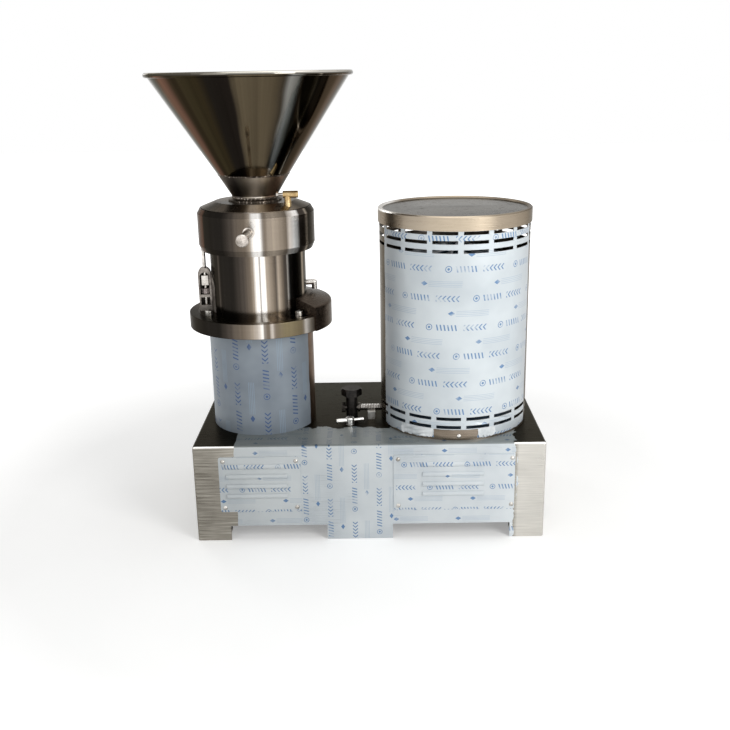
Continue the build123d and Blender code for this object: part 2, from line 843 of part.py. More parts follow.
def hood_section(skirt_z):
    """Outer outline of the hood from the body's wall to its skirt's lower edge."""
    inner = body_r + free_gap
    face = outline([(inner, skirt_z), (hood_out, skirt_z), (hood_out, hood_edge_z), (inner, hood_top_z)])
    corner = face.vertices().sort_by(Axis.X)[-2:].sort_by(Axis.Z)[-1]
    return fillet(corner, hood_round)


def discharge_hood():
    """Rolled sheet hood over the windows: a sloping roof, a skirt and two end walls."""
    arc = hood_to - hood_from
    outer = revolve(hood_section(pedestal_top), Axis.Z, revolution_arc=arc)
    under = outline([
        (body_r, pedestal_top - 1), (hood_in, pedestal_top - 1), (hood_in, hood_edge_z - hood_t),
        (body_r, hood_top_z - hood_t),
    ])
    corner = under.vertices().sort_by(Axis.X)[-2:].sort_by(Axis.Z)[-1]
    under = fillet(corner, hood_round - hood_t)
    end_arc = degrees(hood_t / hood_out)
    inner = Rot(0, 0, end_arc) * revolve(under, Axis.Z, revolution_arc=arc - 2 * end_arc)
    hood = outer - inner - tube(hood_in, body_r - 1, pedestal_top - 1, disc_top)
    hood = turn(hood_from) * hood
    half = spout_w / 2 - hood_t
    hood -= turn(180) * block(disc_r - 6, hood_out + 2, -half, half, disc_top, hood_edge_z - hood_t - 1)
    return mill(hood)


def discharge_spout():
    """Bent sheet trough that carries the butter clear of the base at the back."""
    length = (spout_reach - hood_out) / cos(radians(spout_slope))
    half = spout_w / 2
    floor_z = disc_top
    trough = block(-hood_round, length, -half, half, -hood_t, spout_h)
    trough = fillet(trough.edges().filter_by(Axis.X).sort_by(Axis.Z)[:2], 2 * hood_t)
    hollow = block(-hood_round - 1, length + 1, -half + hood_t, half - hood_t, 0, spout_h + 1)
    hollow = fillet(hollow.edges().filter_by(Axis.X).sort_by(Axis.Z)[:2], hood_t)
    lip = Pos(length, 0, spout_h) * Rot(90, 0, 0) * Cylinder(spout_h * 0.8, spout_w + 2)
    trough = trough - hollow - lip
    trough = Pos(hood_out, 0, floor_z) * Rot(0, spout_slope, 0) * trough
    trough -= rod(hood_out, pedestal_top - spout_w, disc_top + spout_w)
    trough -= block(spout_reach, spout_reach + spout_w, -spout_w, spout_w, 0, 2 * disc_top)
    return mill(turn(180) * trough)


keep("discharge_hood", discharge_hood())
keep("discharge_spout", discharge_spout())


def adjusting_ring():
    """Heavy turned ring on the body's thread: it lifts the stator carrier as it turns."""
    bore = body_r + run_gap
    cavity = carrier_flange_r + free_gap
    ring = spun([
        (bore, ring_foot), (ring_r - ring_foot_out, ring_foot), (ring_r, ring_foot + ring_foot_h),
        (ring_r, ring_top - ring_bevel_h), (ring_r - ring_bevel_out, ring_top), (recess_r, ring_top),
        (recess_r, retainer_z), (cavity, retainer_z), (cavity, flange_seat), (ledge_r, flange_seat),
        (ledge_r, ledge_z), (bore, ledge_z),
    ])
    for azimuth in handle_az:
        spigot = radial_rod(handle_spigot_r + seat_gap, ring_r - handle_spigot_l, ring_r + 1,
                            ring_foot + handle_z)
        ring -= turn(azimuth) * spigot
    for hole in around(Pos(retainer_screw_pcr, 0, 0) * rod(
            retainer_screw_r + seat_gap, retainer_z - 9, retainer_z + 1), retainer_screw_n):
        ring -= hole
    return mill(ring)


def ring_handles():
    """Turned handles screwed into the ring: collar, shank and a dished knob."""
    knob_z = handle_l - handle_knob_l
    dish = handle_knob_r * 0.6
    handle = spun([
        (0, -2), (handle_collar_r, -2), (handle_collar_r, handle_collar_l),
        (handle_shank_r, handle_collar_l + 1), (handle_shank_r, knob_z - 4), (handle_shank_r - 2, knob_z),
        (handle_knob_r, knob_z + 2), (handle_knob_r, handle_l - 2), (handle_knob_r - 2, handle_l),
        (dish, handle_l - 0.5), (0, handle_l - 2),
    ])
    axis_z = ring_foot + handle_z
    handle = Pos(ring_r, 0, axis_z) * Rot(0, 90, 0) * handle - rod(ring_r, ring_foot, ring_top)
    handle += radial_rod(handle_spigot_r, ring_r - handle_spigot_l + free_gap, ring_r + 1, axis_z)
    return [mill(turn(a) * handle) for a in handle_az]


def ring_retainer():
    """Flat ring screwed into the adjusting ring over the carrier's flange."""
    bore = body_r - 6
    plate = tube(recess_r - free_gap, bore, retainer_z, retainer_z + retainer_t)
    head_z = retainer_z + retainer_t - 5
    screw = rod(retainer_screw_r + hole_gap, retainer_z - 1, retainer_z + retainer_t)
    screw += rod(2 * retainer_screw_r - 0.3, head_z, retainer_z + retainer_t + 1)
    for hole in around(Pos(retainer_screw_pcr, 0, 0) * screw, retainer_screw_n):
        plate -= hole
    return mill(plate)


def retainer_screws():
    """Small cap screws, sunk in the retaining ring."""
    head_z = retainer_z + retainer_t - 5
    screw = rod(retainer_screw_r, retainer_z - 8, head_z + 1)
    screw += rod(2 * retainer_screw_r - 0.8, head_z, head_z + 4.5)
    return [mill(s) for s in around(Pos(retainer_screw_pcr, 0, 0) * screw, retainer_screw_n)]


keep("adjusting_ring", adjusting_ring())
keep("ring_handles", *ring_handles())
keep("ring_retainer", ring_retainer())
keep("retainer_screws", *retainer_screws())

carrier_r = body_bore_r - run_gap


def stator_carrier():
    """Sliding sleeve that carries the stator: water jacket and O-ring grooves outside."""
    jacket_foot = carrier_foot + jacket_z0
    hub_r = body_r - 6 - free_gap
    ledge = stator_top
    profile = [
        (carrier_bore_r, carrier_foot), (carrier_r, carrier_foot), (carrier_r, jacket_foot),
        (jacket_r, jacket_foot), (jacket_r, jacket_foot + jacket_h), (carrier_r, jacket_foot + jacket_h),
        (carrier_r, flange_seat), (carrier_flange_r, flange_seat),
        (carrier_flange_r, flange_seat + carrier_flange_t), (hub_r, flange_seat + carrier_flange_t),
        (hub_r, hub_top), (carrier_bore_r, hub_top), (carrier_bore_r, ledge + carrier_ledge_t),
        (carrier_ledge_r, ledge + carrier_ledge_t), (carrier_ledge_r, ledge), (carrier_bore_r, ledge),
    ]
    carrier = spun(profile)
    groove_r = carrier_r - 2 * o_ring_r - 2 * seat_gap
    for z in o_ring_z:
        middle = carrier_foot + z
        carrier -= tube(carrier_r + 1, groove_r, middle - 1.3 * o_ring_r, middle + 1.3 * o_ring_r)
    slot_z = ring_foot + key_z
    slot_w = key_r + free_gap
    for azimuth in (-90, 90):
        slot = block(body_bore_r - key_in - 1, carrier_r + 1, -slot_w, slot_w,
                     slot_z - slot_w - lift_travel, slot_z + slot_w)
        carrier -= turn(azimuth) * slot
    return mill(carrier)


def carrier_o_rings():
    """Rubber O-rings above and below the water jacket."""
    middle_r = carrier_r - o_ring_r - seat_gap
    rings = []
    for z in o_ring_z:
        section = Plane.XZ * Pos(middle_r, carrier_foot + z) * RegularPolygon(o_ring_r, 8)
        rings.append(mill(revolve(section, Axis.Z)))
    return rings


stator_foot = carrier_foot + 1.0
cone_tilt = degrees(atan2(stator_foot_r - stator_top_r, stator_h))


def cone_grooves(foot_r, top_r, skew):
    """Slanted cutters round a cone, one for each tooth gap."""
    middle_r = (foot_r + top_r) / 2
    middle_z = stator_foot + stator_h / 2
    cutter = Box(2 * groove_deep, groove_w, 2 * stator_h)
    cutter = Pos(middle_r, 0, middle_z) * Rot(0, -cone_tilt, 0) * Rot(skew, 0, 0) * cutter
    return around(cutter, tooth_n)


def mill_stator():
    """Hardened stator: a ring with a conical toothed bore, wide end down."""
    ring = spun([
        (stator_foot_r, stator_foot), (carrier_bore_r - seat_gap, stator_foot),
        (carrier_bore_r - seat_gap, stator_top), (stator_top_r, stator_top),
    ])
    for cutter in cone_grooves(stator_foot_r, stator_top_r, groove_skew):
        ring -= cutter
    return mill(ring)


def mill_rotor():
    """Hardened rotor: a toothed cone that runs inside the stator."""
    foot_r = stator_foot_r - rotor_gap
    top_r = stator_top_r - rotor_gap
    bore = spindle_top_r + seat_gap
    cone = spun([(bore, stator_foot), (foot_r, stator_foot), (top_r, stator_top), (bore, stator_top)])
    for cutter in cone_grooves(foot_r, top_r, -groove_skew):
        cone -= cutter
    return mill(cone)


cover_under = hub_top


def feed_cover():
    """Turned cover: a shallow cone outside, the feed throat down to the stator inside."""
    edge_r = recess_r - free_gap - 0.2
    hub_r = body_r - 6 - free_gap
    edge_z = cover_top - cover_rise + 1.5
    throat_out = throat_r + throat_wall
    cover = spun([
        (throat_r, stator_top), (throat_out, stator_top), (throat_out, cover_under - cover_spigot_h),
        (carrier_bore_r - seat_gap, cover_under - cover_spigot_h), (carrier_bore_r - seat_gap, cover_under),
        (hub_r, cover_under), (hub_r, edge_z - cover_edge_t), (edge_r, edge_z - cover_edge_t),
        (edge_r, edge_z), (cover_flat_r, cover_top), (neck_r + free_gap, cover_top),
        (neck_r + free_gap, cover_top - spigot_h - free_gap), (throat_r, cover_top - spigot_h - free_gap),
    ])
    cover -= turn(outlet_az) * Pos(outlet_r, 0, 0) * rod(
        outlet_bore_r - 1, cover_under - 12, cover_top + 1)
    cover -= turn(outlet_az) * Pos(outlet_r, 0, 0) * rod(
        outlet_stem_r + seat_gap, outlet_seat, cover_top + 1)
    return mill(cover)


cone_drop = (cover_rise - 1.5) / (recess_r - free_gap - 0.2 - cover_flat_r)
outlet_face = cover_top - (outlet_r - cover_flat_r) * cone_drop
outlet_seat = outlet_face - 6
outlet_axis_z = outlet_face + outlet_stem_h - outlet_barrel_r / 2


def outlet_place(shape):
    """Put something built about Z at the outlet on the cover, without turning it."""
    angle = radians(outlet_az)
    return Pos(mill_x + outlet_r * sin(angle), axis_y - outlet_r * cos(angle), 0) * shape


def water_outlet_elbow():
    """Brass tee screwed into the cover: a stem with a cross barrel open to the right."""
    stem = rod(outlet_stem_r, outlet_seat, outlet_axis_z)
    left = -outlet_barrel_l * 0.3
    barrel = radial_rod(outlet_barrel_r, left, left + outlet_barrel_l, outlet_axis_z)
    barrel = fillet(barrel.edges().sort_by(Axis.X)[-1], 1.5)
    bore_x = left + outlet_barrel_l - outlet_bore_l
    tee = stem + barrel
    tee -= radial_rod(outlet_bore_r, bore_x, left + outlet_barrel_l + 1, outlet_axis_z)
    tee -= rod(outlet_bore_r - 1, outlet_seat - 1, outlet_axis_z)
    tee -= radial_rod(plug_r + seat_gap, left - 1, left + plug_in, outlet_axis_z)
    return outlet_place(tee)


def water_outlet_plug():
    """Steel air-bleed plug in the tee's left end."""
    left = -outlet_barrel_l * 0.3
    plug = radial_rod(plug_r, left - plug_l, left + plug_in - 0.5, outlet_axis_z)
    head = Pos(left - plug_l, 0, outlet_axis_z) * Rot(0, 90, 0) * hexagon(2.6 * plug_r, 0, 5)
    return outlet_place(plug + head)


def water_inlet_elbow():
    """Steel elbow screwed into the body: out of the wall and down towards the hood."""
    z = disc_top + inlet_z
    x1 = body_r + inlet_out
    pipe = radial_rod(inlet_r, body_r - inlet_seat, x1, z)
    pipe += Pos(x1, 0, z) * Sphere(inlet_r)
    pipe += Pos(x1, 0, 0) * rod(inlet_r, z - inlet_drop, z)
    pipe -= radial_rod(inlet_bore_r, body_r - 5, x1, z)
    pipe -= Pos(x1, 0, 0) * rod(inlet_bore_r, z - inlet_drop - 1, z)
    return mill(turn(inlet_az) * pipe)


keep("stator_carrier", stator_carrier())
keep("carrier_o_rings", *carrier_o_rings())
keep("mill_stator", mill_stator())
keep("mill_rotor", mill_rotor())
keep("feed_cover", feed_cover())
keep("water_outlet_elbow", water_outlet_elbow())
keep("water_outlet_plug", water_outlet_plug())


def hopper():
    """Two welded sheet cones with a rolled rim, a short neck, a weld collar and a spigot."""
    rim_in = hopper_rim_r - bead_r
    seam_z = cover_top + seam_h
    slope = (seam_r - neck_r) / (seam_h - neck_h)
    wide_slope = (rim_in - seam_r) / (bead_z - seam_z)
    wall = hopper_t * sqrt(1 + slope ** 2)
    wide_wall = hopper_t * sqrt(1 + wide_slope ** 2)
    foot = cover_top - spigot_h
    neck_top = cover_top + neck_h
    shell = spun([
        (neck_r - hopper_t, foot), (neck_r, foot), (neck_r, neck_top), (seam_r, seam_z),
        (rim_in, bead_z), (rim_in - wide_wall, bead_z), (seam_r - wall, seam_z),
        (neck_r - hopper_t, neck_top + (wall - hopper_t) / slope),
    ])
    weld = spun_circle(seam_r, seam_z, hopper_t / 2)
    bead = spun_circle(rim_in, bead_z, bead_r)
    collar = spun([
        (neck_r - 0.5, cover_top), (collar_r, cover_top), (collar_r, cover_top + collar_h / 2),
        (neck_r, cover_top + collar_h), (neck_r - 0.5, cover_top + collar_h),
    ])
    return mill(shell + weld + bead + collar)


def spun_circle(r, z, section_r):
    """Ring of round section about Z."""
    return revolve(Plane.XZ * Pos(r, z) * Circle(section_r), Axis.Z)


keep("hopper", hopper())


def spindle():
    """Stepped spindle through both bearings, from the pulley to the feed screw."""
    foot = pulley_z - 3
    lower_step = lower_shoulder
    upper_step = upper_seat
    neck = disc_top + 2
    thread_z = stator_top
    return mill(spun([
        (0, foot), (spindle_low_r, foot), (spindle_low_r, pulley_z + pulley_h),
        (lower_bore_r, pulley_z + pulley_h), (lower_bore_r, lower_step), (spindle_mid_r, lower_step),
        (spindle_mid_r, upper_step), (upper_bore_r, upper_step), (upper_bore_r, neck),
        (spindle_top_r, neck), (spindle_top_r, thread_z), (spindle_thread_r, thread_z),
        (spindle_thread_r, thread_z + spindle_thread_h), (0, thread_z + spindle_thread_h),
    ]))


def discharge_impeller():
    """Open impeller under the rotor that sweeps the butter to the windows."""
    foot = disc_top + impeller_lift
    hub = tube(impeller_hub_r, spindle_top_r + seat_gap, foot, stator_foot)
    plate = tube(impeller_r, spindle_top_r + seat_gap, foot, foot + impeller_disc_t)
    wheel = hub + plate
    reach = impeller_r - 2
    blade = block(impeller_hub_r - 8, reach, -blade_t / 2, blade_t / 2, foot, foot + impeller_h)
    swept = Pos(impeller_hub_r, 0, 0) * Rot(0, 0, -blade_sweep) * Pos(-impeller_hub_r, 0, 0) * blade
    for piece in around(swept, blade_n):
        wheel += piece & rod(impeller_r, foot, foot + impeller_h)
    return mill(wheel)


def feed_auger():
    """Two-start feed screw on the spindle's thread, in the cover's throat."""
    foot = stator_top + 0.5
    section = Circle(auger_hub_r) + Rectangle(2 * auger_r, auger_t)
    screw = Solid.extrude_linear_with_rotation(
        section.face(), (0, 0, 0), (0, 0, auger_h), auger_twist)
    nose = spun([(0, 0), (auger_hub_r, 0), (auger_hub_r * 0.8, auger_nose_h / 2), (0, auger_nose_h)])
    screw = Pos(0, 0, foot) * (Part() + screw) + Pos(0, 0, foot + auger_h - 0.5) * nose
    screw -= rod(spindle_thread_r + seat_gap, foot - 1, foot + spindle_thread_h)
    return mill(screw)


def pulley(bore_r):
    """Three-groove belt pulley about Z."""
    points = [(bore_r, pulley_z), (pulley_r, pulley_z)]
    for i in range(groove_n):
        middle = pulley_z + pulley_lip + (i + 0.5) * groove_pitch
        foot_r = pulley_r - groove_depth
        points += [(pulley_r, middle - groove_top), (foot_r, middle - groove_foot),
                   (foot_r, middle + groove_foot), (pulley_r, middle + groove_top)]
    points += [(pulley_r, pulley_z + pulley_h), (bore_r, pulley_z + pulley_h)]
    wheel = spun(points)
    web_r = pulley_r - groove_depth - 8
    return wheel - tube(web_r, bore_r + 14, pulley_z - 1, pulley_z + pulley_h / 3)


def v_belts():
    """Three V-belts round both pulleys, each a closed loop of wedge section."""
    span = motor_x - mill_x
    slope = (groove_top - groove_foot) / groove_depth
    outer = pulley_r - belt_drop
    inner = pulley_r - groove_depth + belt_low
    outer_half = groove_top - slope * belt_drop - belt_side
    inner_half = groove_foot + slope * belt_low - belt_side
    belts = []
    for i in range(groove_n):
        middle = pulley_z + pulley_lip + (i + 0.5) * groove_pitch
        points = [(inner, middle - inner_half), (outer, middle - outer_half),
                  (outer, middle + outer_half), (inner, middle + inner_half)]
        turn_end = Rot(0, 0, -90) * spun(points, 180)
        run = extrude(Plane.YZ * make_face(Polyline(*points, close=True)), span)
        far = Pos(span, 0, 0) * turn_end
        near = Rot(0, 0, 180) * turn_end
        belts.append(mill(far + near + run + mirror(run, Plane.XZ)))
    return belts


keep("spindle", spindle())
keep("bearing_inner_rings",
     bearing_inner(upper_bore_r, upper_od_r, upper_w, upper_seat),
     bearing_inner(lower_bore_r, lower_od_r, lower_w, lower_seat))
keep("discharge_impeller", discharge_impeller())
keep("feed_auger", feed_auger())
keep("driven_pulley", mill(pulley(spindle_low_r + seat_gap)))
keep("drive_pulley", motor(pulley(shaft_r + seat_gap)))
keep("v_belts", *v_belts())


def motor_plate():
    """Round sliding plate under the motor, with clamp slots and a lug for the tension screw."""
    plate = rod(plate_r, deck_z, plate_top) - rod(plate_hole_r, deck_z - 1, plate_top + 1)
    slot = Pos(-slide_travel / 2, 0, deck_z - 1) * extrude(
        SlotOverall(slot_l + slide_travel, 2 * (clamp_r + hole_gap)), plate_t + 2)
    for x, y in clamp_places:
        plate -= Pos(x - motor_x + slide_travel, y - axis_y, 0) * slot
    lug_x0 = lug_x - motor_in
    lug = block(lug_x0, lug_x0 + lug_t, -lug_w / 2, lug_w / 2, plate_top - 1, deck_z + lug_h)
    top_edges = lug.edges().filter_by(Axis.X).sort_by(Axis.Z)[-2:]
    plate += fillet(top_edges, lug_w / 4)
    groove_end = tension_end - motor_in + slide_travel + 1
    plate -= radial_rod(tension_r + run_gap, -plate_r - 1, groove_end, deck_z + tension_z)
    plate -= rod(flange_r + 0.5, plate_top, plate_top + lug_h)
    return motor(plate)


def plate_clamp_bolts():
    """Hex bolts through the plate's slots and the deck, with nuts below."""
    head_z = plate_top + free_gap
    bolt = rod(clamp_r, deck_under - nut_h - 4, head_z + 1)
    bolt += hexagon(nut_af, head_z, head_z + nut_h - 2)
    bolt += hexagon(nut_af, deck_under - nut_h, deck_under)
    return [Pos(x, y, 0) * bolt for x, y in clamp_places]


def motor_flange_shield():
    """Lower end shield: a flange on the plate and a cone up to the frame, around the shaft."""
    bore = journal_r + run_gap
    lip = bore + seal_lip_w
    hub = bore + shield_hub_w
    spigot = plate_hole_r - free_gap
    z0 = motor_foot
    return motor(spun([
        (lip, z0), (spigot - 2, z0), (spigot - 2, z0 - flange_spigot_h), (spigot, z0 - flange_spigot_h),
        (spigot, z0), (flange_r, z0), (flange_r, z0 + flange_t), (fin_r, z0 + flange_t),
        (frame_r, frame_foot), (frame_r - frame_wall, frame_foot), (hub + 6, frame_foot),
        (hub, frame_foot + shield_hub_h), (bore, frame_foot + shield_hub_h), (bore, z0 + seal_lip_h),
        (lip, z0 + seal_lip_h),
    ]))


def motor_frame():
    """Cast frame tube with straight cooling fins."""
    ring = Circle(frame_r)
    fin = Pos((fin_r + frame_r - frame_wall) / 2, 0) * Rectangle(fin_r - frame_r + frame_wall, fin_t)
    profile = ring
    for piece in around(fin, fin_n, 180 / fin_n):
        profile += piece
    profile -= Circle(frame_r - frame_wall)
    frame = Pos(0, 0, frame_foot) * extrude(profile, frame_h)
    half = box_neck_w / 2 + free_gap
    pocket = block(frame_r - frame_wall, fin_r + 1, -half, half,
                   box_foot + box_neck_in, box_foot + box_h - box_neck_in)
    pocket -= rod(frame_r, box_foot, box_foot + box_h)
    return motor(frame - turn(180) * pocket)


def motor_core():
    """Stator laminations with the end windings at both ends."""
    z0 = frame_foot + core_z0
    z1 = z0 + core_h
    out = frame_r - frame_wall - seat_gap
    wind_in = core_r + winding_in
    wind_out = out - winding_in
    round_off = winding_h / 3
    return motor(spun([
        (core_r, z0), (wind_in, z0), (wind_in, z0 - winding_h + round_off),
        (wind_in + round_off, z0 - winding_h), (wind_out - round_off, z0 - winding_h),
        (wind_out, z0 - winding_h + round_off), (wind_out, z0), (out, z0), (out, z1), (wind_out, z1),
        (wind_out, z1 + winding_h - round_off), (wind_out - round_off, z1 + winding_h),
        (wind_in + round_off, z1 + winding_h), (wind_in, z1 + winding_h - round_off),
        (wind_in, z1), (core_r, z1),
    ]))


def motor_top_shield():
    """Upper end shield around the shaft."""
    bore = journal_r + run_gap
    hub = bore + top_hub_w
    crown = frame_top + top_shield_t
    return motor(spun([
        (bore, frame_top - top_hub_h), (hub, frame_top - top_hub_h), (hub + 4, frame_top),
        (frame_r, frame_top), (frame_r, frame_top + top_shield_t / 2), (hub - 6, crown), (bore, crown),
    ]))


fan_cover_foot = frame_top + 4
fan_cover_top = fan_cover_foot + fan_cover_h


def fan_cover():
    """Drawn cover over the fan: it laps the fin tips and has a ring of slots on top."""
    inner = fin_r - fan_cover_t
    dome_r = fin_r * 0.72
    step = 14
    cover = spun([
        (inner, fan_cover_foot), (fin_r, fan_cover_foot), (fin_r, fan_cover_top - step),
        (dome_r, fan_cover_top), (0, fan_cover_top), (0, fan_cover_top - fan_cover_t),
        (dome_r - 1, fan_cover_top - fan_cover_t), (inner, fan_cover_top - step - 1),
    ])
    slit = sector(24, dome_r - 8, fan_cover_top - 6, fan_cover_top + 1, 90, 16)
    for cutter in around(slit, 12):
        cover -= cutter
    ear = block(frame_r, inner + 0.5, -7, 7, fan_cover_foot, fan_cover_foot + 3)
    for piece in around(ear, 4, 45):
        cover += piece
    return motor(cover)


def terminal_box():
    """Terminal box on the frame's back, with a lid lip."""
    x0 = fin_r
    x1 = x0 + box_out
    z0 = box_foot
    case = block(x0, x1 - 6, -box_w / 2 + 3, box_w / 2 - 3, z0, z0 + box_h)
    case = fillet(case.edges().filter_by(Axis.X), box_round)
    lid = block(x1 - 8, x1, -box_w / 2, box_w / 2, z0 - 3, z0 + box_h + 3)
    lid = fillet(lid.edges().filter_by(Axis.X), box_round)
    inset = box_neck_in + free_gap
    half = box_neck_w / 2
    neck = block(frame_r - frame_wall, x0 + 1, -half, half, z0 + inset, z0 + box_h - inset)
    neck -= rod(frame_r, z0, z0 + box_h)
    return motor(turn(180) * (case + lid + neck))


def motor_shaft():
    """Motor shaft with the rotor core, its lower end through the deck to the pulley."""
    foot = motor_foot - shaft_drop
    z0 = frame_foot + core_z0
    z1 = z0 + core_h
    core = core_r - core_gap
    fan_z = frame_top + top_shield_t + 2
    low_step = frame_foot + shield_hub_h + 2
    high_step = frame_top - top_hub_h - 2
    step_r = shaft_r + shaft_step
    return motor(spun([
        (0, foot), (shaft_r, foot), (shaft_r, motor_foot), (journal_r, motor_foot + 6),
        (journal_r, low_step), (step_r, low_step), (step_r, z0), (core, z0), (core, z1), (step_r, z1),
        (step_r, high_step), (journal_r, high_step),
        (journal_r, fan_z), (fan_shaft_r, fan_z), (fan_shaft_r, fan_z + fan_h + 4),
        (0, fan_z + fan_h + 4),
    ]))


def motor_fan():
    """Moulded radial fan on the shaft's upper end."""
    foot = frame_top + top_shield_t + 4
    wheel = tube(fan_hub_r, fan_shaft_r + seat_gap, foot, foot + fan_h)
    wheel += tube(fan_r, fan_shaft_r + seat_gap, foot, foot + fan_t)
    blade = block(fan_hub_r - 2, fan_r, -fan_t / 2, fan_t / 2, foot, foot + fan_h)
    for piece in around(blade, fan_blades):
        wheel += piece
    return motor(wheel)


keep("motor_plate", motor_plate())
keep("plate_clamp_bolts", *plate_clamp_bolts())
keep("motor_flange_shield", motor_flange_shield())
keep("motor_frame", motor_frame())
keep("motor_core", motor_core())
keep("motor_top_shield", motor_top_shield())
keep("fan_cover", fan_cover())
keep("terminal_box", terminal_box())
keep("motor_shaft", motor_shaft())
keep("motor_fan", motor_fan())


def motor_shroud():
    """Rolled sheet shroud with rows of vent slots, and a hole for the tension screw."""
    inner = shroud_r - shroud_t
    shell = tube(shroud_r, inner, deck_z, cap_top - cap_t)
    rows = [(z, vent_top_phase) for z in vent_top_rows] + [(z, vent_foot_phase) for z in vent_foot_rows]
    for level, phase in rows:
        z0 = deck_z + level - vent_h / 2
        vent = sector(inner - 2, shroud_r + 2, z0, z0 + vent_h, phase, vent_arc)
        shell -= Compound(children=around(vent, vent_n))
    hole = radial_rod(tension_r + tension_hole_gap, inner - 2, shroud_r + 2, deck_z + tension_z)
    return motor(shell - turn(-90) * hole)


def shroud_cap():
    """Pressed lid: a deep band over the shroud and a dished top inside a raised rim."""
    band = cap_r - cap_t
    rim_in = cap_r - cap_bead_w
    dish = cap_top - cap_dish
    soft = 2.5
    return motor(spun([
        (band, cap_foot), (cap_r, cap_foot), (cap_r, cap_top - soft), (cap_r - soft, cap_top),
        (rim_in, cap_top), (rim_in - cap_dish, dish), (0, dish), (0, dish - cap_t),
        (rim_in - cap_dish + 1, dish - cap_t), (rim_in + 1, cap_top - cap_t),
        (cap_r - soft - 1, cap_top - cap_t), (band, cap_top - soft - 1),
    ]))


def shroud_foot_ring():
    """Rolled angle ring that locates the shroud on the deck."""
    out = shroud_r - shroud_t - seat_gap
    return motor(spun([
        (foot_ring_in, deck_z), (out, deck_z), (out, deck_z + foot_ring_h),
        (out - foot_ring_t, deck_z + foot_ring_h), (out - foot_ring_t, deck_z + foot_ring_t),
        (foot_ring_in, deck_z + foot_ring_t),
    ]) - turn(-90) * radial_rod(tension_r + tension_hole_gap, foot_ring_in - 5, shroud_r,
                                deck_z + tension_z))


keep("motor_shroud", motor_shroud())
keep("shroud_cap", shroud_cap())
keep("shroud_foot_ring", shroud_foot_ring())


def tension_post():
    """Black anchor post with a hex head, cross-drilled for the tension screw."""
    post = rod(post_r, deck_z, deck_z + post_h)
    head = hexagon(post_head_af, deck_z + post_h, deck_z + post_h + post_head_h)
    crown = Pos(0, 0, deck_z + post_h) * Cone(
        post_head_af * 0.78, post_head_af * 0.42, post_head_h * 1.35, align=LOW)
    post += head & crown
    post += rod(post_stud_r, deck_under - nut_h - 6, deck_z + 1)
    post += hexagon(3.2 * post_stud_r, deck_under - nut_h, deck_under)
    post -= Pos(0, 0, deck_z + tension_z) * Rot(0, 90, 0) * Cylinder(tension_r + run_gap, 4 * post_r)
    return Pos(*post_place, 0) * post


def tension_screw():
    """Long screw through the post and the shroud into the plate's lug."""
    z = deck_z + tension_z
    tip = tension_end - post_x
    head_x = -post_r - 1 - tension_head_t
    screw = radial_rod(tension_r, head_x + 1, tip, z)
    screw += Pos(head_x, 0, z) * Rot(0, 90, 0) * hexagon(tension_head_af, 0, tension_head_t)
    screw += radial_rod(tension_collar_r, post_r + 1, post_r + 1 + tension_collar_t, z)
    return Pos(*post_place, 0) * screw


def square_head_bolt():
    """Square-headed bolt in the deck, with its nut below."""
    head = block(-block_side / 2, block_side / 2, -block_side / 2, block_side / 2,
                 deck_z, deck_z + block_h)
    head = chamfer(head.edges().filter_by(Axis.Z), 1)
    bolt = head + rod(stud_r, deck_under - nut_h - 4, deck_z + 1)
    bolt += hexagon(nut_af, deck_under - nut_h, deck_under)
    return Pos(*block_place, 0) * Rot(0, 0, 4) * bolt


def clamp_lever():
    """Quarter-turn clamp: a boss with a cross bar above the deck, its stud and nut below."""
    foot = deck_z + free_gap
    boss = rod(lever_boss_r, foot, foot + lever_boss_h)
    boss = fillet(boss.edges().sort_by(Axis.Z)[-1], 3)
    neck = lever_grip_l + lever_bar_r
    bar = spun([(0, 0), (lever_bar_r - 1, 0), (lever_bar_r, 1), (lever_bar_r, lever_grip_l - 1),
                (lever_bar_r - 1, lever_grip_l), (lever_tip_r, neck), (lever_tip_r, lever_bar_l - 1),
                (lever_tip_r - 1, lever_bar_l), (0, lever_bar_l)])
    bar = Pos(-lever_bar_l / 2, 0, 0) * Rot(0, 90, 0) * bar
    lever = boss + Pos(0, 0, deck_z + lever_boss_h * 0.6) * bar
    lever += rod(stud_r, deck_under - nut_h - 4, foot + 1)
    lever += hexagon(nut_af, deck_under - nut_h, deck_under - free_gap)
    return Pos(*lever_place, 0) * Rot(0, 0, lever_turn) * lever


keep("tension_post", tension_post())
keep("tension_screw", tension_screw())
keep("square_head_bolt", square_head_bolt())
keep("clamp_lever", clamp_lever())

# Ring lock: levels above the disc
lock_top = disc_top + lock_h
yoke_in = body_r + 1.3


def arch(x0, x1, z0, z1):
    """Face in the XZ plane: upright sides and a round top."""
    r = (x1 - x0) / 2
    middle = (x0 + x1) / 2
    lines = [Line((x0, z1 - r), (x0, z0)), Line((x0, z0), (x1, z0)), Line((x1, z0), (x1, z1 - r)),
             ThreePointArc((x1, z1 - r), (middle, z1), (x0, z1 - r))]
    return Plane.XZ * make_face(lines)


def lock_yoke():
    """Arched yoke on the disc: the lock rod slides in it, the nut turns on its cross bar."""
    x0 = yoke_in
    x1 = x0 + lock_depth
    yoke = extrude(arch(x0, x1, disc_top, lock_top), lock_w / 2, both=True)
    top_z = lock_top - 2.6 * lock_wall
    bar_z = disc_top + lock_bar_z
    window = extrude(arch(x0 + lock_wall, x1 - lock_wall, bar_z + lock_bar_t, top_z), lock_w, both=True)
    lower = block(x0 + lock_wall, x1 - lock_wall, -lock_w, lock_w, disc_top + lock_foot_h, bar_z)
    bore = Pos(lock_r, 0, 0) * rod(lock_rod_r + run_gap, disc_top + 4, lock_top + 1)
    return mill(turn(lock_az) * (yoke - window - lower - bore))


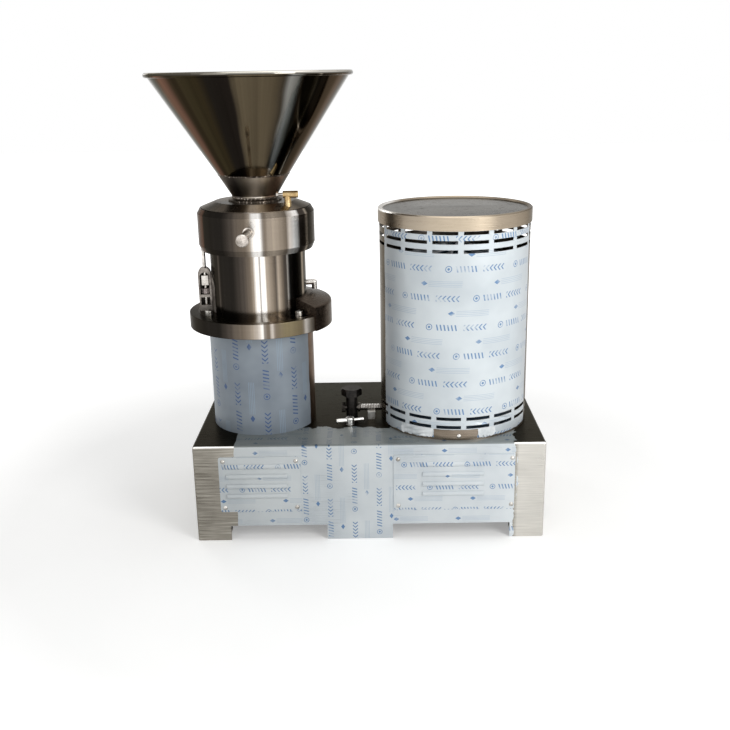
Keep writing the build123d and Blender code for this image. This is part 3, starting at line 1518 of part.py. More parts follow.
def lock_rod():
    """Lock rod with a square guide and a pad that bears up on the ring."""
    top = ring_foot - free_gap
    piece = rod(lock_rod_r, disc_top + 10, top)
    piece += rod(lock_pad_r, top - lock_pad_h, top)
    guide_z = disc_top + lock_guide_z
    half = lock_guide_w / 2
    guide = block(-half, half, -half, half, guide_z, guide_z + lock_guide_h)
    piece += fillet(guide.edges().filter_by(Axis.Z), 2)
    piece += Pos(0, -half, guide_z + lock_guide_h / 2) * Rot(90, 0, 0) * Cylinder(
        half * 0.45, 3, align=LOW)
    return mill(turn(lock_az) * Pos(lock_r, 0, 0) * piece)


def lock_nut():
    """Knurled nut on the lock rod."""
    z0 = disc_top + lock_bar_z + lock_bar_t + free_gap
    nut = rod(lock_nut_r, z0, z0 + lock_nut_h)
    nut = chamfer(nut.edges().filter_by(GeomType.CIRCLE), 1)
    notch = Pos(lock_nut_r, 0, 0) * rod(0.9, z0 - 1, z0 + lock_nut_h + 1)
    for cutter in around(notch, knurl_n):
        nut -= cutter
    nut -= rod(lock_rod_r + run_gap, z0 - 1, z0 + lock_nut_h + 1)
    return mill(turn(lock_az) * Pos(lock_r, 0, 0) * nut)


keep("lock_yoke", lock_yoke())
keep("lock_rod", lock_rod())
keep("lock_nut", lock_nut())
keep("water_inlet_elbow", water_inlet_elbow())

for name, shape in nodes.items():
    export_step(shape, f"parts/{name}.step")
print(len(nodes), "nodes")
print("mill axis", round(mill_x, 3), round(axis_y, 3), "motor axis", round(motor_x, 3))
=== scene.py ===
import math

import bmesh
import bpy
from mathutils import Matrix, Vector, noise


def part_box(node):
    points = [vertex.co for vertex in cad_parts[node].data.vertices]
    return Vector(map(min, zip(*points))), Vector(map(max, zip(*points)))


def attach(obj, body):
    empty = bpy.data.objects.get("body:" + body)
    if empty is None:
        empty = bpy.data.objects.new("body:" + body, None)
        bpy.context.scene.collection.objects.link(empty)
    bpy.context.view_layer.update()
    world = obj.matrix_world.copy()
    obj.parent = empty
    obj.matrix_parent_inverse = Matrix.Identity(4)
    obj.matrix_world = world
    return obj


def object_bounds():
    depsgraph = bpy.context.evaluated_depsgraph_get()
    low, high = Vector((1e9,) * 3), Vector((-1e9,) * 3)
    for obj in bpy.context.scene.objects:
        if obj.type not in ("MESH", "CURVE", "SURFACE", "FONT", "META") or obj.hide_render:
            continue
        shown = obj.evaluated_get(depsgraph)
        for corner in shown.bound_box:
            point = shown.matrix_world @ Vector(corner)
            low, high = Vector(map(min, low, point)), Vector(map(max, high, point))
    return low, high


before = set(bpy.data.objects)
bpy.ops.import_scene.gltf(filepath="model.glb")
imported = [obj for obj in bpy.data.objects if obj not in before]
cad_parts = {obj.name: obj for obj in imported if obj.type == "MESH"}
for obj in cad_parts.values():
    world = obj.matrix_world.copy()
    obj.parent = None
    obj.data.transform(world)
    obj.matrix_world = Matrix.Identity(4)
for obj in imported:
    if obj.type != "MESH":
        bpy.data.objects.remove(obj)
cad_low, cad_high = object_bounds()

# Camera. It stands in front of the base's left half, level with the hopper's rim, and looks down
# at the deck through a slightly long lens.
base_low, base_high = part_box("base_frame")
lens_mm = 47.24
camera_from_corner = Vector((0.4403, -2.1572, 1.1196))
camera_yaw, camera_tilt, camera_roll = 0.44, 17.18, -0.99
camera_data = bpy.data.cameras.new("camera")
camera_data.lens = lens_mm
camera_data.sensor_width = 36.0
camera_data.clip_end = 50.0
camera = bpy.data.objects.new("camera", camera_data)
camera.location = base_low + camera_from_corner
camera.rotation_euler = (
    Matrix.Rotation(math.radians(camera_yaw), 3, "Z")
    @ Matrix.Rotation(math.radians(90 - camera_tilt), 3, "X")
    @ Matrix.Rotation(math.radians(camera_roll), 3, "Z")
).to_euler()
bpy.context.scene.collection.objects.link(camera)
bpy.context.scene.camera = camera
bpy.context.scene.view_settings.view_transform = "Standard"


# Studio. A pale floor that runs out into a white surround, a broad light from the front right, a
# weaker one from the left, a strip behind and a soft light from above. A Wire is one shader value,
# and arithmetic on it places Math nodes, so a pattern reads as its formula.
class Wire:
    def __init__(self, tree, socket):
        self.tree = tree
        self.socket = socket

    def math(self, operation, *others, clamp=False):
        node = self.tree.nodes.new("ShaderNodeMath")
        node.operation = operation
        node.use_clamp = clamp
        for slot, value in zip(node.inputs, (self, *others)):
            if isinstance(value, Wire):
                self.tree.links.new(value.socket, slot)
            else:
                slot.default_value = value
        return Wire(self.tree, node.outputs[0])

    def __add__(self, other):
        return self.math("ADD", other)

    def __sub__(self, other):
        return self.math("SUBTRACT", other)

    def __mul__(self, other):
        return self.math("MULTIPLY", other)

    def inverse(self):
        return self * -1.0 + 1.0

    def below(self, limit, soft):
        """1 where the value is under a limit, 0 above it, with a soft edge."""
        return ((self - limit) * (-1 / soft) + 0.5).math("ADD", 0.0, clamp=True)

    def near(self, middle, half, soft):
        """1 where the value is within half of a middle."""
        return (self - middle).math("ABSOLUTE").below(half, soft)

    def either(self, other):
        return self.math("MAXIMUM", other)


def new_finish(name):
    """Material with its tree and shader."""
    material = bpy.data.materials.new(name)
    material.use_nodes = True
    tree = material.node_tree
    return material, tree, tree.nodes["Principled BSDF"]


def place(tree, centre=(0, 0, 0)):
    """Object coordinates from a centre, as x, y and z wires."""
    coordinate = tree.nodes.new("ShaderNodeTexCoord")
    mapping = tree.nodes.new("ShaderNodeMapping")
    mapping.inputs["Location"].default_value = [-part for part in centre]
    split = tree.nodes.new("ShaderNodeSeparateXYZ")
    tree.links.new(coordinate.outputs["Object"], mapping.inputs["Vector"])
    tree.links.new(mapping.outputs[0], split.inputs[0])
    return [Wire(tree, socket) for socket in split.outputs]


def noisy(tree, x, y, z, detail=2.0, rough=0.55):
    """Noise, about 0.3 to 0.7, at three wires that are already scaled."""
    join = tree.nodes.new("ShaderNodeCombineXYZ")
    texture = tree.nodes.new("ShaderNodeTexNoise")
    texture.inputs["Scale"].default_value = 1.0
    texture.inputs["Detail"].default_value = detail
    texture.inputs["Roughness"].default_value = rough
    for slot, value in zip(join.inputs, (x, y, z)):
        if isinstance(value, Wire):
            tree.links.new(value.socket, slot)
        else:
            slot.default_value = value
    tree.links.new(join.outputs[0], texture.inputs["Vector"])
    return Wire(tree, texture.outputs[0])


def ramp(tree, factor, stops, ease="LINEAR"):
    """Colour ramp from (place, colour) stops."""
    node = tree.nodes.new("ShaderNodeValToRGB")
    node.color_ramp.interpolation = ease
    elements = node.color_ramp.elements
    while len(elements) < len(stops):
        elements.new(0.5)
    for element, (position, colour) in zip(elements, stops):
        element.position = position
        element.color = (*colour, 1.0)
    tree.links.new(factor.socket, node.inputs[0])
    return node.outputs[0]


def feed(tree, shader, **values):
    """Link or set shader inputs, named with _ for a space."""
    for name, value in values.items():
        slot = shader.inputs[name.replace("_", " ")]
        if isinstance(value, Wire):
            tree.links.new(value.socket, slot)
        elif isinstance(value, bpy.types.NodeSocket):
            tree.links.new(value, slot)
        else:
            slot.default_value = value


floor_half = 12.0
floor_gap = 0.0005
floor_form = bmesh.new()
bmesh.ops.create_grid(floor_form, x_segments=1, y_segments=1, size=floor_half)
floor_mesh = bpy.data.meshes.new("floor")
floor_form.to_mesh(floor_mesh)
floor_form.free()
floor = bpy.data.objects.new("floor", floor_mesh)
floor.location.z = cad_low.z - floor_gap
bpy.context.scene.collection.objects.link(floor)


def unlit_rays(tree):
    """1 for a ray from the camera, a mirror or a glass, and 0 for diffuse light."""
    rays = tree.nodes.new("ShaderNodeLightPath")
    seen, glossy, through = [Wire(tree, rays.outputs[f"Is {kind} Ray"])
                             for kind in ("Camera", "Glossy", "Transmission")]
    return (seen + glossy + through).math("MINIMUM", 1.0)


floor_finish, floor_tree, floor_shader = new_finish("pale_floor")
floor_x, floor_y = place(floor_tree)[:2]
floor_tone = noisy(floor_tree, floor_x * 3.0, floor_y * 3.0, 0.0)
floor_reach = (floor_x * floor_x + floor_y * floor_y).math("SQRT")
near_glow, far_glow = 0.26, 1.0
fade_from, fade_to = 0.9, 2.6
floor_glow = floor_reach.below((fade_from + fade_to) / 2, fade_to - fade_from).inverse()
floor_glow = (floor_glow * (far_glow - near_glow) + near_glow) * unlit_rays(floor_tree)
floor_colour = ramp(floor_tree, floor_tone, [(0.3, (0.88, 0.88, 0.87)), (0.7, (0.91, 0.91, 0.90))])
feed(floor_tree, floor_shader, Base_Color=floor_colour, Roughness=0.85,
     Emission_Color=(1, 1, 1, 1), Emission_Strength=floor_glow)
floor_mesh.materials.append(floor_finish)

world = bpy.data.worlds.new("surround")
bpy.context.scene.world = world
world.use_nodes = True
surround = world.node_tree.nodes["Background"]
diffuse_level = 0.40
world_level = unlit_rays(world.node_tree) * (1.0 - diffuse_level) + diffuse_level
surround.inputs["Color"].default_value = (1.0, 1.0, 1.0, 1.0)
world.node_tree.links.new(world_level.socket, surround.inputs["Strength"])


def soft_light(name, size, location, target, power):
    """Rectangular area light that faces a point."""
    data = bpy.data.lights.new(name, "AREA")
    data.shape = "RECTANGLE"
    data.size, data.size_y = size
    data.energy = power
    lamp = bpy.data.objects.new(name, data)
    lamp.location = location
    lamp.rotation_euler = (Vector(target) - Vector(location)).to_track_quat("-Z", "Y").to_euler()
    bpy.context.scene.collection.objects.link(lamp)


aim = (0.05, 0.0, 0.5)
soft_light("right_key", (1.2, 1.9), (2.0, -2.3, 1.6), aim, 44)
soft_light("left_fill", (1.6, 2.2), (-1.9, -2.8, 2.0), aim, 14)
soft_light("back_strip", (0.9, 2.0), (-1.9, 2.4, 2.2), aim, 12)
soft_light("overhead", (2.2, 2.2), (0.2, 0.0, 3.2), (0, 0, 0), 20)


# Sheet-metal base. It is folded from brushed stainless sheet, with two screwed cover plates that
# have pressed louvres. Film still covers its front and the middle of its deck, torn at the corners.
def mixed(tree, factor, first, second, blend="MIX"):
    """Mix two colours, each a socket or a constant."""
    node = tree.nodes.new("ShaderNodeMix")
    node.data_type = "RGBA"
    node.blend_type = blend
    if isinstance(factor, Wire):
        tree.links.new(factor.socket, node.inputs[0])
    else:
        node.inputs[0].default_value = factor
    for slot, value in ((node.inputs[6], first), (node.inputs[7], second)):
        if isinstance(value, bpy.types.NodeSocket):
            tree.links.new(value, slot)
        else:
            slot.default_value = (*value, 1.0)
    return node.outputs[2]


def bumped(tree, shader, height, strength, distance):
    """Bump from a height wire."""
    node = tree.nodes.new("ShaderNodeBump")
    node.inputs["Strength"].default_value = strength
    node.inputs["Distance"].default_value = distance
    tree.links.new(height.socket, node.inputs["Height"])
    tree.links.new(node.outputs[0], shader.inputs["Normal"])


edge_tint = (0.55, 0.54, 0.52, 1.0)


def dark_edge(shader):
    """Keep a dark metal dark where it is seen at a flat angle."""
    shader.inputs["Specular Tint"].default_value = edge_tint


def dress(material, *names):
    """Give CAD nodes a material."""
    for name in names:
        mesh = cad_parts[name].data
        mesh.materials.clear()
        mesh.materials.append(material)


def new_group(name, inputs, outputs):
    """Shader node group of floats, with its input wires and its output node."""
    group = bpy.data.node_groups.new(name, "ShaderNodeTree")
    for socket in inputs:
        group.interface.new_socket(socket, in_out="INPUT", socket_type="NodeSocketFloat")
    for socket in outputs:
        group.interface.new_socket(socket, in_out="OUTPUT", socket_type="NodeSocketFloat")
    entry = group.nodes.new("NodeGroupInput")
    leave = group.nodes.new("NodeGroupOutput")
    return group, [Wire(group, socket) for socket in entry.outputs[:len(inputs)]], leave


def use_group(tree, group, *inputs):
    """Place a group and return its output wires."""
    node = tree.nodes.new("ShaderNodeGroup")
    node.node_tree = group
    for slot, value in zip(node.inputs, inputs):
        if isinstance(value, Wire):
            tree.links.new(value.socket, slot)
        else:
            slot.default_value = value
    return [Wire(tree, socket) for socket in node.outputs]


# Brushing: fine lines where the three inputs vary fast, with a few deeper scratches
grain_group, (grain_a, grain_b, grain_c), grain_out = new_group(
    "grain", ["A", "B", "C"], ["Lines", "Scratches"])
grain_fine = noisy(grain_group, grain_a, grain_b, grain_c, detail=3.0, rough=0.7)
grain_rare = noisy(grain_group, grain_a * 0.31, grain_b * 0.31, grain_c * 0.31, detail=1.0)
grain_group.links.new(grain_fine.socket, grain_out.inputs[0])
grain_group.links.new(grain_rare.near(0.52, 0.008, 0.01).socket, grain_out.inputs[1])

# Handling: large cloudy tone, and small dull marks
smudge_group, (smudge_x, smudge_y, smudge_z), smudge_out = new_group(
    "smudge", ["X", "Y", "Z"], ["Cloud", "Marks"])
smudge_cloud = noisy(smudge_group, smudge_x * 7.0, smudge_y * 7.0, smudge_z * 7.0, detail=3.0)
smudge_marks = noisy(smudge_group, smudge_x * 55.0, smudge_y * 55.0, smudge_z * 40.0)
smudge_group.links.new(smudge_cloud.socket, smudge_out.inputs[0])
smudge_group.links.new(smudge_marks.below(0.36, 0.06).socket, smudge_out.inputs[1])

# Film print: each row has a ring with a dot, a run of slanted bars and a run of chevrons. Between
# the rows are blocks of fine rules, each with a lozenge before it.
print_period = 0.178
print_pitch = 0.070
motif_half = 0.0072
ink_soft = 0.0006
print_group, (print_u, print_v), print_out = new_group("film_print", ["U", "V"], ["Ink", "Rules"])
print_row = (print_v * (1 / print_pitch)).math("FLOOR")
print_x = (print_u + print_row * (0.41 * print_period)).math("FLOORED_MODULO", print_period)
print_y = print_v.math("FLOORED_MODULO", print_pitch) - 0.5 * print_pitch
motif_y = print_y + 0.016
motif_row = motif_y.near(0.0, motif_half, ink_soft)
ring_x = print_x - 0.011
ring_distance = (ring_x * ring_x + motif_y * motif_y).math("SQRT")
ring = ring_distance.near(0.0070, 0.0009, ink_soft).either(ring_distance.below(0.0030, ink_soft))
slant = (print_x + motif_y * 0.30).math("FLOORED_MODULO", 0.0088)
bars = slant.near(0.0044, 0.0017, ink_soft) * print_x.near(0.0535, 0.0265, ink_soft)
arrow = (print_x - motif_y.math("ABSOLUTE") * 0.9).math("FLOORED_MODULO", 0.0105)
chevrons = arrow.near(0.0052, 0.0019, ink_soft) * print_x.near(0.121, 0.028, ink_soft)
rules_y = print_y - 0.0185
rules = rules_y.math("FLOORED_MODULO", 0.0040).near(0.0020, 0.0006, ink_soft)
rules = rules * rules_y.near(0.0, 0.0085, ink_soft) * print_x.near(0.112, 0.040, ink_soft)
lozenge = ((print_x - 0.061).math("ABSOLUTE") + rules_y.math("ABSOLUTE") * 1.5).below(0.0085, ink_soft)
worn = noisy(print_group, print_u * 31.0, print_v * 31.0, 0.0).below(0.62, 0.22)
ink = ((bars.either(chevrons) * motif_row).either(ring)).either(lozenge) * worn
print_group.links.new(ink.socket, print_out.inputs[0])
print_group.links.new(rules.socket, print_out.inputs[1])

film_ink = (0.07, 0.205, 0.44)
film_rules = (0.30, 0.42, 0.56)


def film_colour(tree, u, v, pale, shade, cloud, ink_colour=film_ink):
    """Milky film tone under its blue print."""
    ink_mask, rules_mask = use_group(tree, print_group, u, v)
    tone = ramp(tree, cloud, [(0.34, shade), (0.64, pale)])
    tone = mixed(tree, rules_mask * 0.5, tone, film_rules)
    return mixed(tree, ink_mask * 0.86, tone, ink_colour)


def blend(factor, first, second):
    """Plain mix of two wires."""
    return first * factor.inverse() + second * factor


film_left = base_low.x + 0.102
film_right = base_low.x + 0.789
film_back = base_low.y + 0.118
film_edge = 0.0008
bend_radius = 0.003
base_print_scale = 1.16
deck_print_shift = 0.012
plates = [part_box(name) for name in ("left_cover_plate", "right_cover_plate")]
column_left, column_right = plates[0][1].x, plates[1][0].x
sheet_dark, sheet_mid, sheet_light = (0.20, 0.185, 0.16), (0.37, 0.35, 0.315), (0.60, 0.575, 0.53)
film_pale, film_shade = (0.74, 0.785, 0.81), (0.60, 0.65, 0.69)


def base_sheet(name, plate):
    """Brushed sheet with its film: over a whole cover plate, or torn at the base's corners."""
    material, tree, shader = new_finish(name)
    x, y, z = place(tree)
    cloud, marks = use_group(tree, smudge_group, x, y, z)
    lines, scratches = use_group(tree, grain_group, x * 9.0, y * 420.0, z * 420.0)
    tear = noisy(tree, x * 26.0, y * 26.0, z * 26.0, detail=4.0) * 0.05 - 0.025
    deck = z.below(base_high.z - bend_radius, 0.001).inverse()
    u, v = x * base_print_scale, (z if plate else z - y) * base_print_scale
    if plate:
        film = x.below(film_right - 0.004, 0.001)
    else:
        right = (x + tear).below(film_right, film_edge)
        left = (x + tear * 0.15).below(film_left, film_edge).inverse()
        back = (y + tear * 1.6).below(film_back, film_edge)
        columns = x.near((column_left + column_right) / 2, (column_right - column_left) / 2, 0.0006)
        film = left * right * back * y.below(base_high.y - 0.004, 0.001)
        u, v = blend(columns, u, v), blend(columns, v, u + deck_print_shift)
    front_film = film_colour(tree, u, v, film_pale, film_shade, cloud)
    # Painted shade: the film is darkened towards the base's left, as light falls from the right.
    painted_left_shade = x.below((film_left + film_right) / 2, film_right - film_left)
    front_film = mixed(tree, painted_left_shade, front_film, (0.70, 0.70, 0.69), "MULTIPLY")
    # Painted shade: the film on the deck is a darker copy of the front film.
    shaded_deck_film = mixed(tree, 1.0, front_film, (0.36, 0.37, 0.355), "MULTIPLY")
    brushed = cloud * 0.35 + lines * 0.65
    bare = ramp(tree, brushed, [(0.36, sheet_dark), (0.5, sheet_mid), (0.64, sheet_light)])
    # Painted light: the bare steel is brightened at the right corner, where light falls from the right.
    right_corner_highlight = x.below(film_right, 0.01).inverse()
    bare = mixed(tree, 1.0, bare, (0.74, 0.73, 0.70), "MULTIPLY")
    bare = mixed(tree, right_corner_highlight * 0.45, bare, (0.98, 0.96, 0.91))
    # Painted shade on the bare deck, darkest at the front and lighter towards the back.
    deck_back = y.below(base_low.y + 0.30, 0.26).inverse()
    painted_deck_shade = mixed(tree, deck_back, (0.045, 0.042, 0.034), (0.10, 0.105, 0.095))
    deck_bare = mixed(tree, 1.0, bare, painted_deck_shade, "MULTIPLY")
    # Painted highlight: a pale line along the bare front top bend.
    front_bend = y.below(base_low.y + bend_radius, 0.001)
    edge = z.near(base_high.z - 0.002, 0.0022, 0.001) * front_bend * film.inverse()
    colour = mixed(tree, film, mixed(tree, deck, bare, deck_bare), mixed(tree, deck, front_film, shaded_deck_film))
    colour = mixed(tree, edge, colour, (0.9, 0.88, 0.84))
    rough = lines * 0.22 + cloud * 0.20 + marks * 0.08 + 0.10
    feed(tree, shader, Base_Color=colour, Metallic=film * -0.85 + 0.98, Roughness=rough)
    dark_edge(shader)
    bumped(tree, shader, lines * 0.3 + cloud * film * 2.2 + scratches * 0.4, 0.25, 0.0008)
    return material


dress(base_sheet("filmed_base_sheet", False), "base_frame")
dress(base_sheet("filmed_cover_plate", True), "left_cover_plate", "right_cover_plate")


# Bare sheet. Foot plates, deck channels, the shroud's foot ring, the discharge hood and the spout
# are brushed sheet with no film; the hood is a darker brown.
def bare_sheet(name, dark, light):
    material, tree, shader = new_finish(name)
    x, y, z = place(tree)
    cloud, marks = use_group(tree, smudge_group, x, y, z)
    lines, scratches = use_group(tree, grain_group, x * 9.0, y * 380.0, z * 380.0)
    feed(tree, shader, Metallic=0.97, Roughness=lines * 0.2 + cloud * 0.2 + marks * 0.1 + 0.08,
         Base_Color=ramp(tree, cloud * 0.6 + lines * 0.4, [(0.34, dark), (0.66, light)]))
    dark_edge(shader)
    bumped(tree, shader, lines * 0.35 + scratches * 0.5, 0.2, 0.0006)
    return material


dress(bare_sheet("brushed_sheet", (0.24, 0.225, 0.20), (0.50, 0.48, 0.45)),
      "foot_plates", "deck_beams", "shroud_foot_ring", "discharge_spout")
dress(bare_sheet("dark_brown_hood", (0.028, 0.020, 0.015), (0.115, 0.088, 0.070)), "discharge_hood")

# Pedestal. A rolled steel tube under its film, which is greyer here and painted much darker, a painted
# shadow under the flange disc, and has its print in upright columns. The film is cut away along the tube's
# weld at the right.
mill_low, mill_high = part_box("mill_flange")
mill_axis = ((mill_low.x + mill_high.x) / 2, (mill_low.y + mill_high.y) / 2, 0.0)
pedestal_low, pedestal_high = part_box("bearing_pedestal")
pedestal_radius = (pedestal_high.x - pedestal_low.x) / 2
column_scale, row_scale = 0.94, 0.96
weld_turn, weld_half = 0.52, 0.145


def around_axis(x, y):
    """Radius, and azimuth in half turns from the front, positive to the right."""
    return (x * x + y * y).math("SQRT"), x.math("ARCTAN2", y * -1.0) * (1 / math.pi)


def pedestal_film():
    material, tree, shader = new_finish("filmed_pedestal")
    x, y, z = place(tree, mill_axis)
    radius, azimuth = around_axis(x, y)
    cloud, marks = use_group(tree, smudge_group, x, y, z)
    lines = use_group(tree, grain_group, azimuth * 3.0, radius * 300.0, z * 380.0)[0]
    joint = noisy(tree, 0.0, 0.0, z * 9.0, detail=3.0) * 0.04 - 0.02
    film = (azimuth + joint).near(weld_turn, weld_half, 0.001).inverse()
    v = azimuth * (math.pi * pedestal_radius * column_scale)
    # Painted shadow: the film and its ink are darker copies of the film's tones elsewhere.
    pale = film_colour(tree, z * row_scale + 0.03, v, (0.270, 0.310, 0.350), (0.185, 0.215, 0.250), cloud,
                       (0.045, 0.095, 0.24))
    weld = ramp(tree, cloud, [(0.36, (0.045, 0.028, 0.02)), (0.62, (0.24, 0.165, 0.12))])
    feed(tree, shader, Base_Color=mixed(tree, film, weld, pale), Metallic=film * -0.85 + 0.97,
         Roughness=film * 0.12 + cloud * 0.2 + lines * 0.15 + 0.12)
    dark_edge(shader)
    bumped(tree, shader, cloud * film * 2.0 + lines * 0.2 + marks * 0.2, 0.25, 0.0008)
    return material


dress(pedestal_film(), "bearing_pedestal")

# Motor shroud. Two rolled half shells of brushed sheet, welded at the sides. Their film is nearly
# whole: it is cut back along the welds, torn off in front of the foot and ragged near it.
lid_low, lid_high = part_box("shroud_cap")
motor_axis = ((lid_low.x + lid_high.x) / 2, (lid_low.y + lid_high.y) / 2, 0.0)
shroud_low, shroud_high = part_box("motor_shroud")
shroud_radius = (shroud_high.x - shroud_low.x) / 2
bare_foot_h = 0.027
seam_half = 0.113
bare_from, bare_to = math.radians(-19.2), math.radians(14.6)
bare_middle = (bare_from + bare_to) / 2 / math.pi
bare_half = (bare_to - bare_from) / 2 / math.pi


def faces_out(tree, x, y):
    """1 on a round wall's outer side, and 0 on its inner side and its cut edges."""
    coordinate = tree.nodes.new("ShaderNodeTexCoord")
    split = tree.nodes.new("ShaderNodeSeparateXYZ")
    tree.links.new(coordinate.outputs["Normal"], split.inputs[0])
    normal_x, normal_y = [Wire(tree, socket) for socket in split.outputs[:2]]
    return (normal_x * x + normal_y * y).below(shroud_radius * 0.6, 0.01).inverse()


def shroud_film():
    material, tree, shader = new_finish("filmed_shroud")
    x, y, z = place(tree, (motor_axis[0], motor_axis[1], shroud_low.z))
    radius, azimuth = around_axis(x, y)
    cloud = use_group(tree, smudge_group, x, y, z)[0]
    lines = use_group(tree, grain_group, azimuth * 8.0, radius * 300.0, z * 420.0)[0]
    tear = noisy(tree, azimuth * 14.0, 0.0, z * 40.0, detail=5.0, rough=0.65) - 0.5
    wobble = noisy(tree, 0.0, 1.0, z * 5.0, detail=2.0) * 0.02 - 0.01
    welds = (azimuth + wobble).math("ABSOLUTE").near(0.5, seam_half, 0.001)
    height = z + tear * 0.004
    foot = height.below(bare_foot_h, 0.001) * (azimuth + tear * 0.03).near(bare_middle, bare_half, 0.001)
    ragged = (z + tear * 0.016).below(0.005, 0.001)
    bare_mask = foot.either(ragged).either(welds)
    outside = faces_out(tree, x, y)
    film = bare_mask.inverse() * outside
    u = azimuth * (math.pi * shroud_radius) - z * 0.10
    pale = film_colour(tree, u, z + 0.016, (0.70, 0.755, 0.785), (0.58, 0.635, 0.67), cloud)
    # Painted shade: the film darkens towards the shroud's sides.
    side_shade = azimuth.math("ABSOLUTE").near(0.42, 0.10, 0.16)
    pale = mixed(tree, side_shade * 0.55, pale, (0.30, 0.32, 0.34))
    bare = ramp(tree, cloud * 0.6 + lines * 0.4, [(0.34, (0.15, 0.12, 0.09)), (0.66, (0.38, 0.32, 0.26))])
    bare = mixed(tree, welds, bare, (0.10, 0.082, 0.062))
    feed(tree, shader, Base_Color=mixed(tree, film, bare, pale), Metallic=film * -0.85 + 0.97,
         Roughness=film * 0.10 + cloud * 0.2 + lines * 0.12 + 0.12)
    dark_edge(shader)
    bumped(tree, shader, cloud * film * 2.2 + film * 0.8 + lines * 0.2, 0.3, 0.0008)
    return material


dress(shroud_film(), "motor_shroud")


# Torn film. Two loose flaps hang beside the bare stretch of the shroud's foot. The left one is
# crumpled, and the right one is a plain tab that curls off the steel.
def add_piece(name, form, material, body, smooth=35.0):
    """Make a finished bmesh into a piece that rides on a body."""
    mesh = bpy.data.meshes.new(name)
    form.to_mesh(mesh)
    form.free()
    mesh.materials.append(material)
    mesh.shade_smooth()
    mesh.set_sharp_from_angle(angle=math.radians(smooth))
    piece = bpy.data.objects.new(name, mesh)
    bpy.context.scene.collection.objects.link(piece)
    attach(piece, body)
    return piece


def around_motor(turn, reach, height):
    """Point on the shroud's side, from its azimuth, radius and height above its foot."""
    return Vector((motor_axis[0] + math.sin(turn) * reach, motor_axis[1] - math.cos(turn) * reach,
                   shroud_low.z + height))


def loose_film():
    material, tree, shader = new_finish("loose_film")
    x, y, z = place(tree)
    cloud, marks = use_group(tree, smudge_group, x * 3.0, y * 3.0, z * 3.0)
    feed(tree, shader, Roughness=cloud * 0.2 + marks * 0.1 + 0.15,
         Base_Color=ramp(tree, cloud, [(0.36, (0.60, 0.64, 0.66)), (0.60, (0.84, 0.87, 0.88))]))
    bumped(tree, shader, cloud, 0.3, 0.001)
    return material


loose_film_finish = loose_film()
film_thickness = 0.00025
flap_top, flap_drop = 0.028, 0.0215
flap_gap = 0.0006
corner_share = 0.12


def film_flap(name, turn_from, turn_to, curl, crumple, seed):
    """Bend a grid round the shroud, with a ragged lower edge, round corners and folds."""
    form = bmesh.new()
    bmesh.ops.create_grid(form, x_segments=44, y_segments=14, size=0.5)
    for vert in form.verts:
        across, down = vert.co.x + 0.5, 0.5 - vert.co.y
        fold = noise.noise(Vector((across * 7.0 + down * 3.0, down * 3.0, seed)))
        edge = noise.noise(Vector((across * 9.0, 4.0, seed)))
        edge += noise.noise(Vector((across * 23.0, 1.0, seed))) * 0.5
        corner = max(0.0, abs(across - 0.5) - (0.5 - corner_share)) / corner_share
        drop = flap_drop * down * (1.0 + 0.22 * edge - 0.30 * corner ** 2)
        reach = shroud_radius + flap_gap + curl * down ** 2 + crumple * down * (0.5 + fold)
        vert.co = around_motor(turn_from + (turn_to - turn_from) * across, reach, flap_top - drop)
    bmesh.ops.recalc_face_normals(form, faces=form.faces)
    bmesh.ops.solidify(form, geom=form.faces[:], thickness=film_thickness)
    add_piece(name, form, loose_film_finish, "frame", 60.0)


film_flap("crumpled_film_flap", math.radians(-47.0), bare_from, 0.0016, 0.0035, 2.3)
film_flap("film_tab", bare_to, math.radians(29.0), 0.0022, 0.0008, 7.1)


# Lid. Pressed from brushed sheet, with a warm dull band, painted lighter at the front as a painted
# highlight, and a painted highlight on its rim at the left. Its dished top is smoother and painted dark as a
# painted reflection, with a pale patch of painted reflection at the back.
def lid_sheet():
    material, tree, shader = new_finish("lid_sheet")
    x, y, z = place(tree, motor_axis)
    radius, azimuth = around_axis(x, y)
    cloud, marks = use_group(tree, smudge_group, x, y, z)
    lines, scratches = use_group(tree, grain_group, azimuth * 8.0, radius * 300.0, z * 420.0)
    # Painted highlight and shade: the band is lighter at the front and darker towards the right.
    band = ramp(tree, azimuth * 0.5 + 0.5 + (cloud - 0.5) * 0.08, [
        (0.0, (0.30, 0.25, 0.19)), (0.26, (0.30, 0.25, 0.20)), (0.40, (0.33, 0.28, 0.22)),
        (0.5, (0.50, 0.42, 0.32)), (0.60, (0.33, 0.275, 0.21)), (0.72, (0.16, 0.13, 0.10)),
        (1.0, (0.30, 0.25, 0.19))], "EASE")
    worn_lines = ramp(tree, lines, [(0.3, (0.6, 0.58, 0.55)), (0.7, (1, 1, 1))])
    band = mixed(tree, 0.35, band, worn_lines, "MULTIPLY")
    # Painted reflection: the dished top is dark, with a pale patch at the back.
    pool = noisy(tree, x * 5.0 + 3.1, y * 9.0, 0.0, detail=1.0)
    painted_reflection_patch = x.near(0.01, 0.11, 0.05) * y.near(0.08, 0.055, 0.03)
    top = ramp(tree, pool, [(0.38, (0.014, 0.013, 0.009)), (0.50, (0.030, 0.027, 0.020)),
                            (0.62, (0.070, 0.065, 0.052))])
    top = mixed(tree, painted_reflection_patch * 0.6, top, (0.27, 0.27, 0.26))
    dished = radius.below(shroud_radius - 0.009, 0.003) * z.below(lid_high.z - 0.02, 0.002).inverse()
    rim = z.below(lid_high.z - 0.004, 0.002).inverse() * dished.inverse()
    # Painted highlight on the rim at the left.
    painted_rim_highlight = rim * azimuth.near(-0.5, 0.2, 0.1)
    colour = mixed(tree, painted_rim_highlight, mixed(tree, dished, band, top), (0.85, 0.83, 0.80))
    feed(tree, shader, Base_Color=colour, Metallic=1.0,
         Roughness=dished * -0.14 + lines * 0.14 + marks * 0.08 + 0.22)
    dark_edge(shader)
    bumped(tree, shader, lines * 0.3 + scratches * 0.5, 0.2, 0.0005)
    return material


dress(lid_sheet(), "shroud_cap")
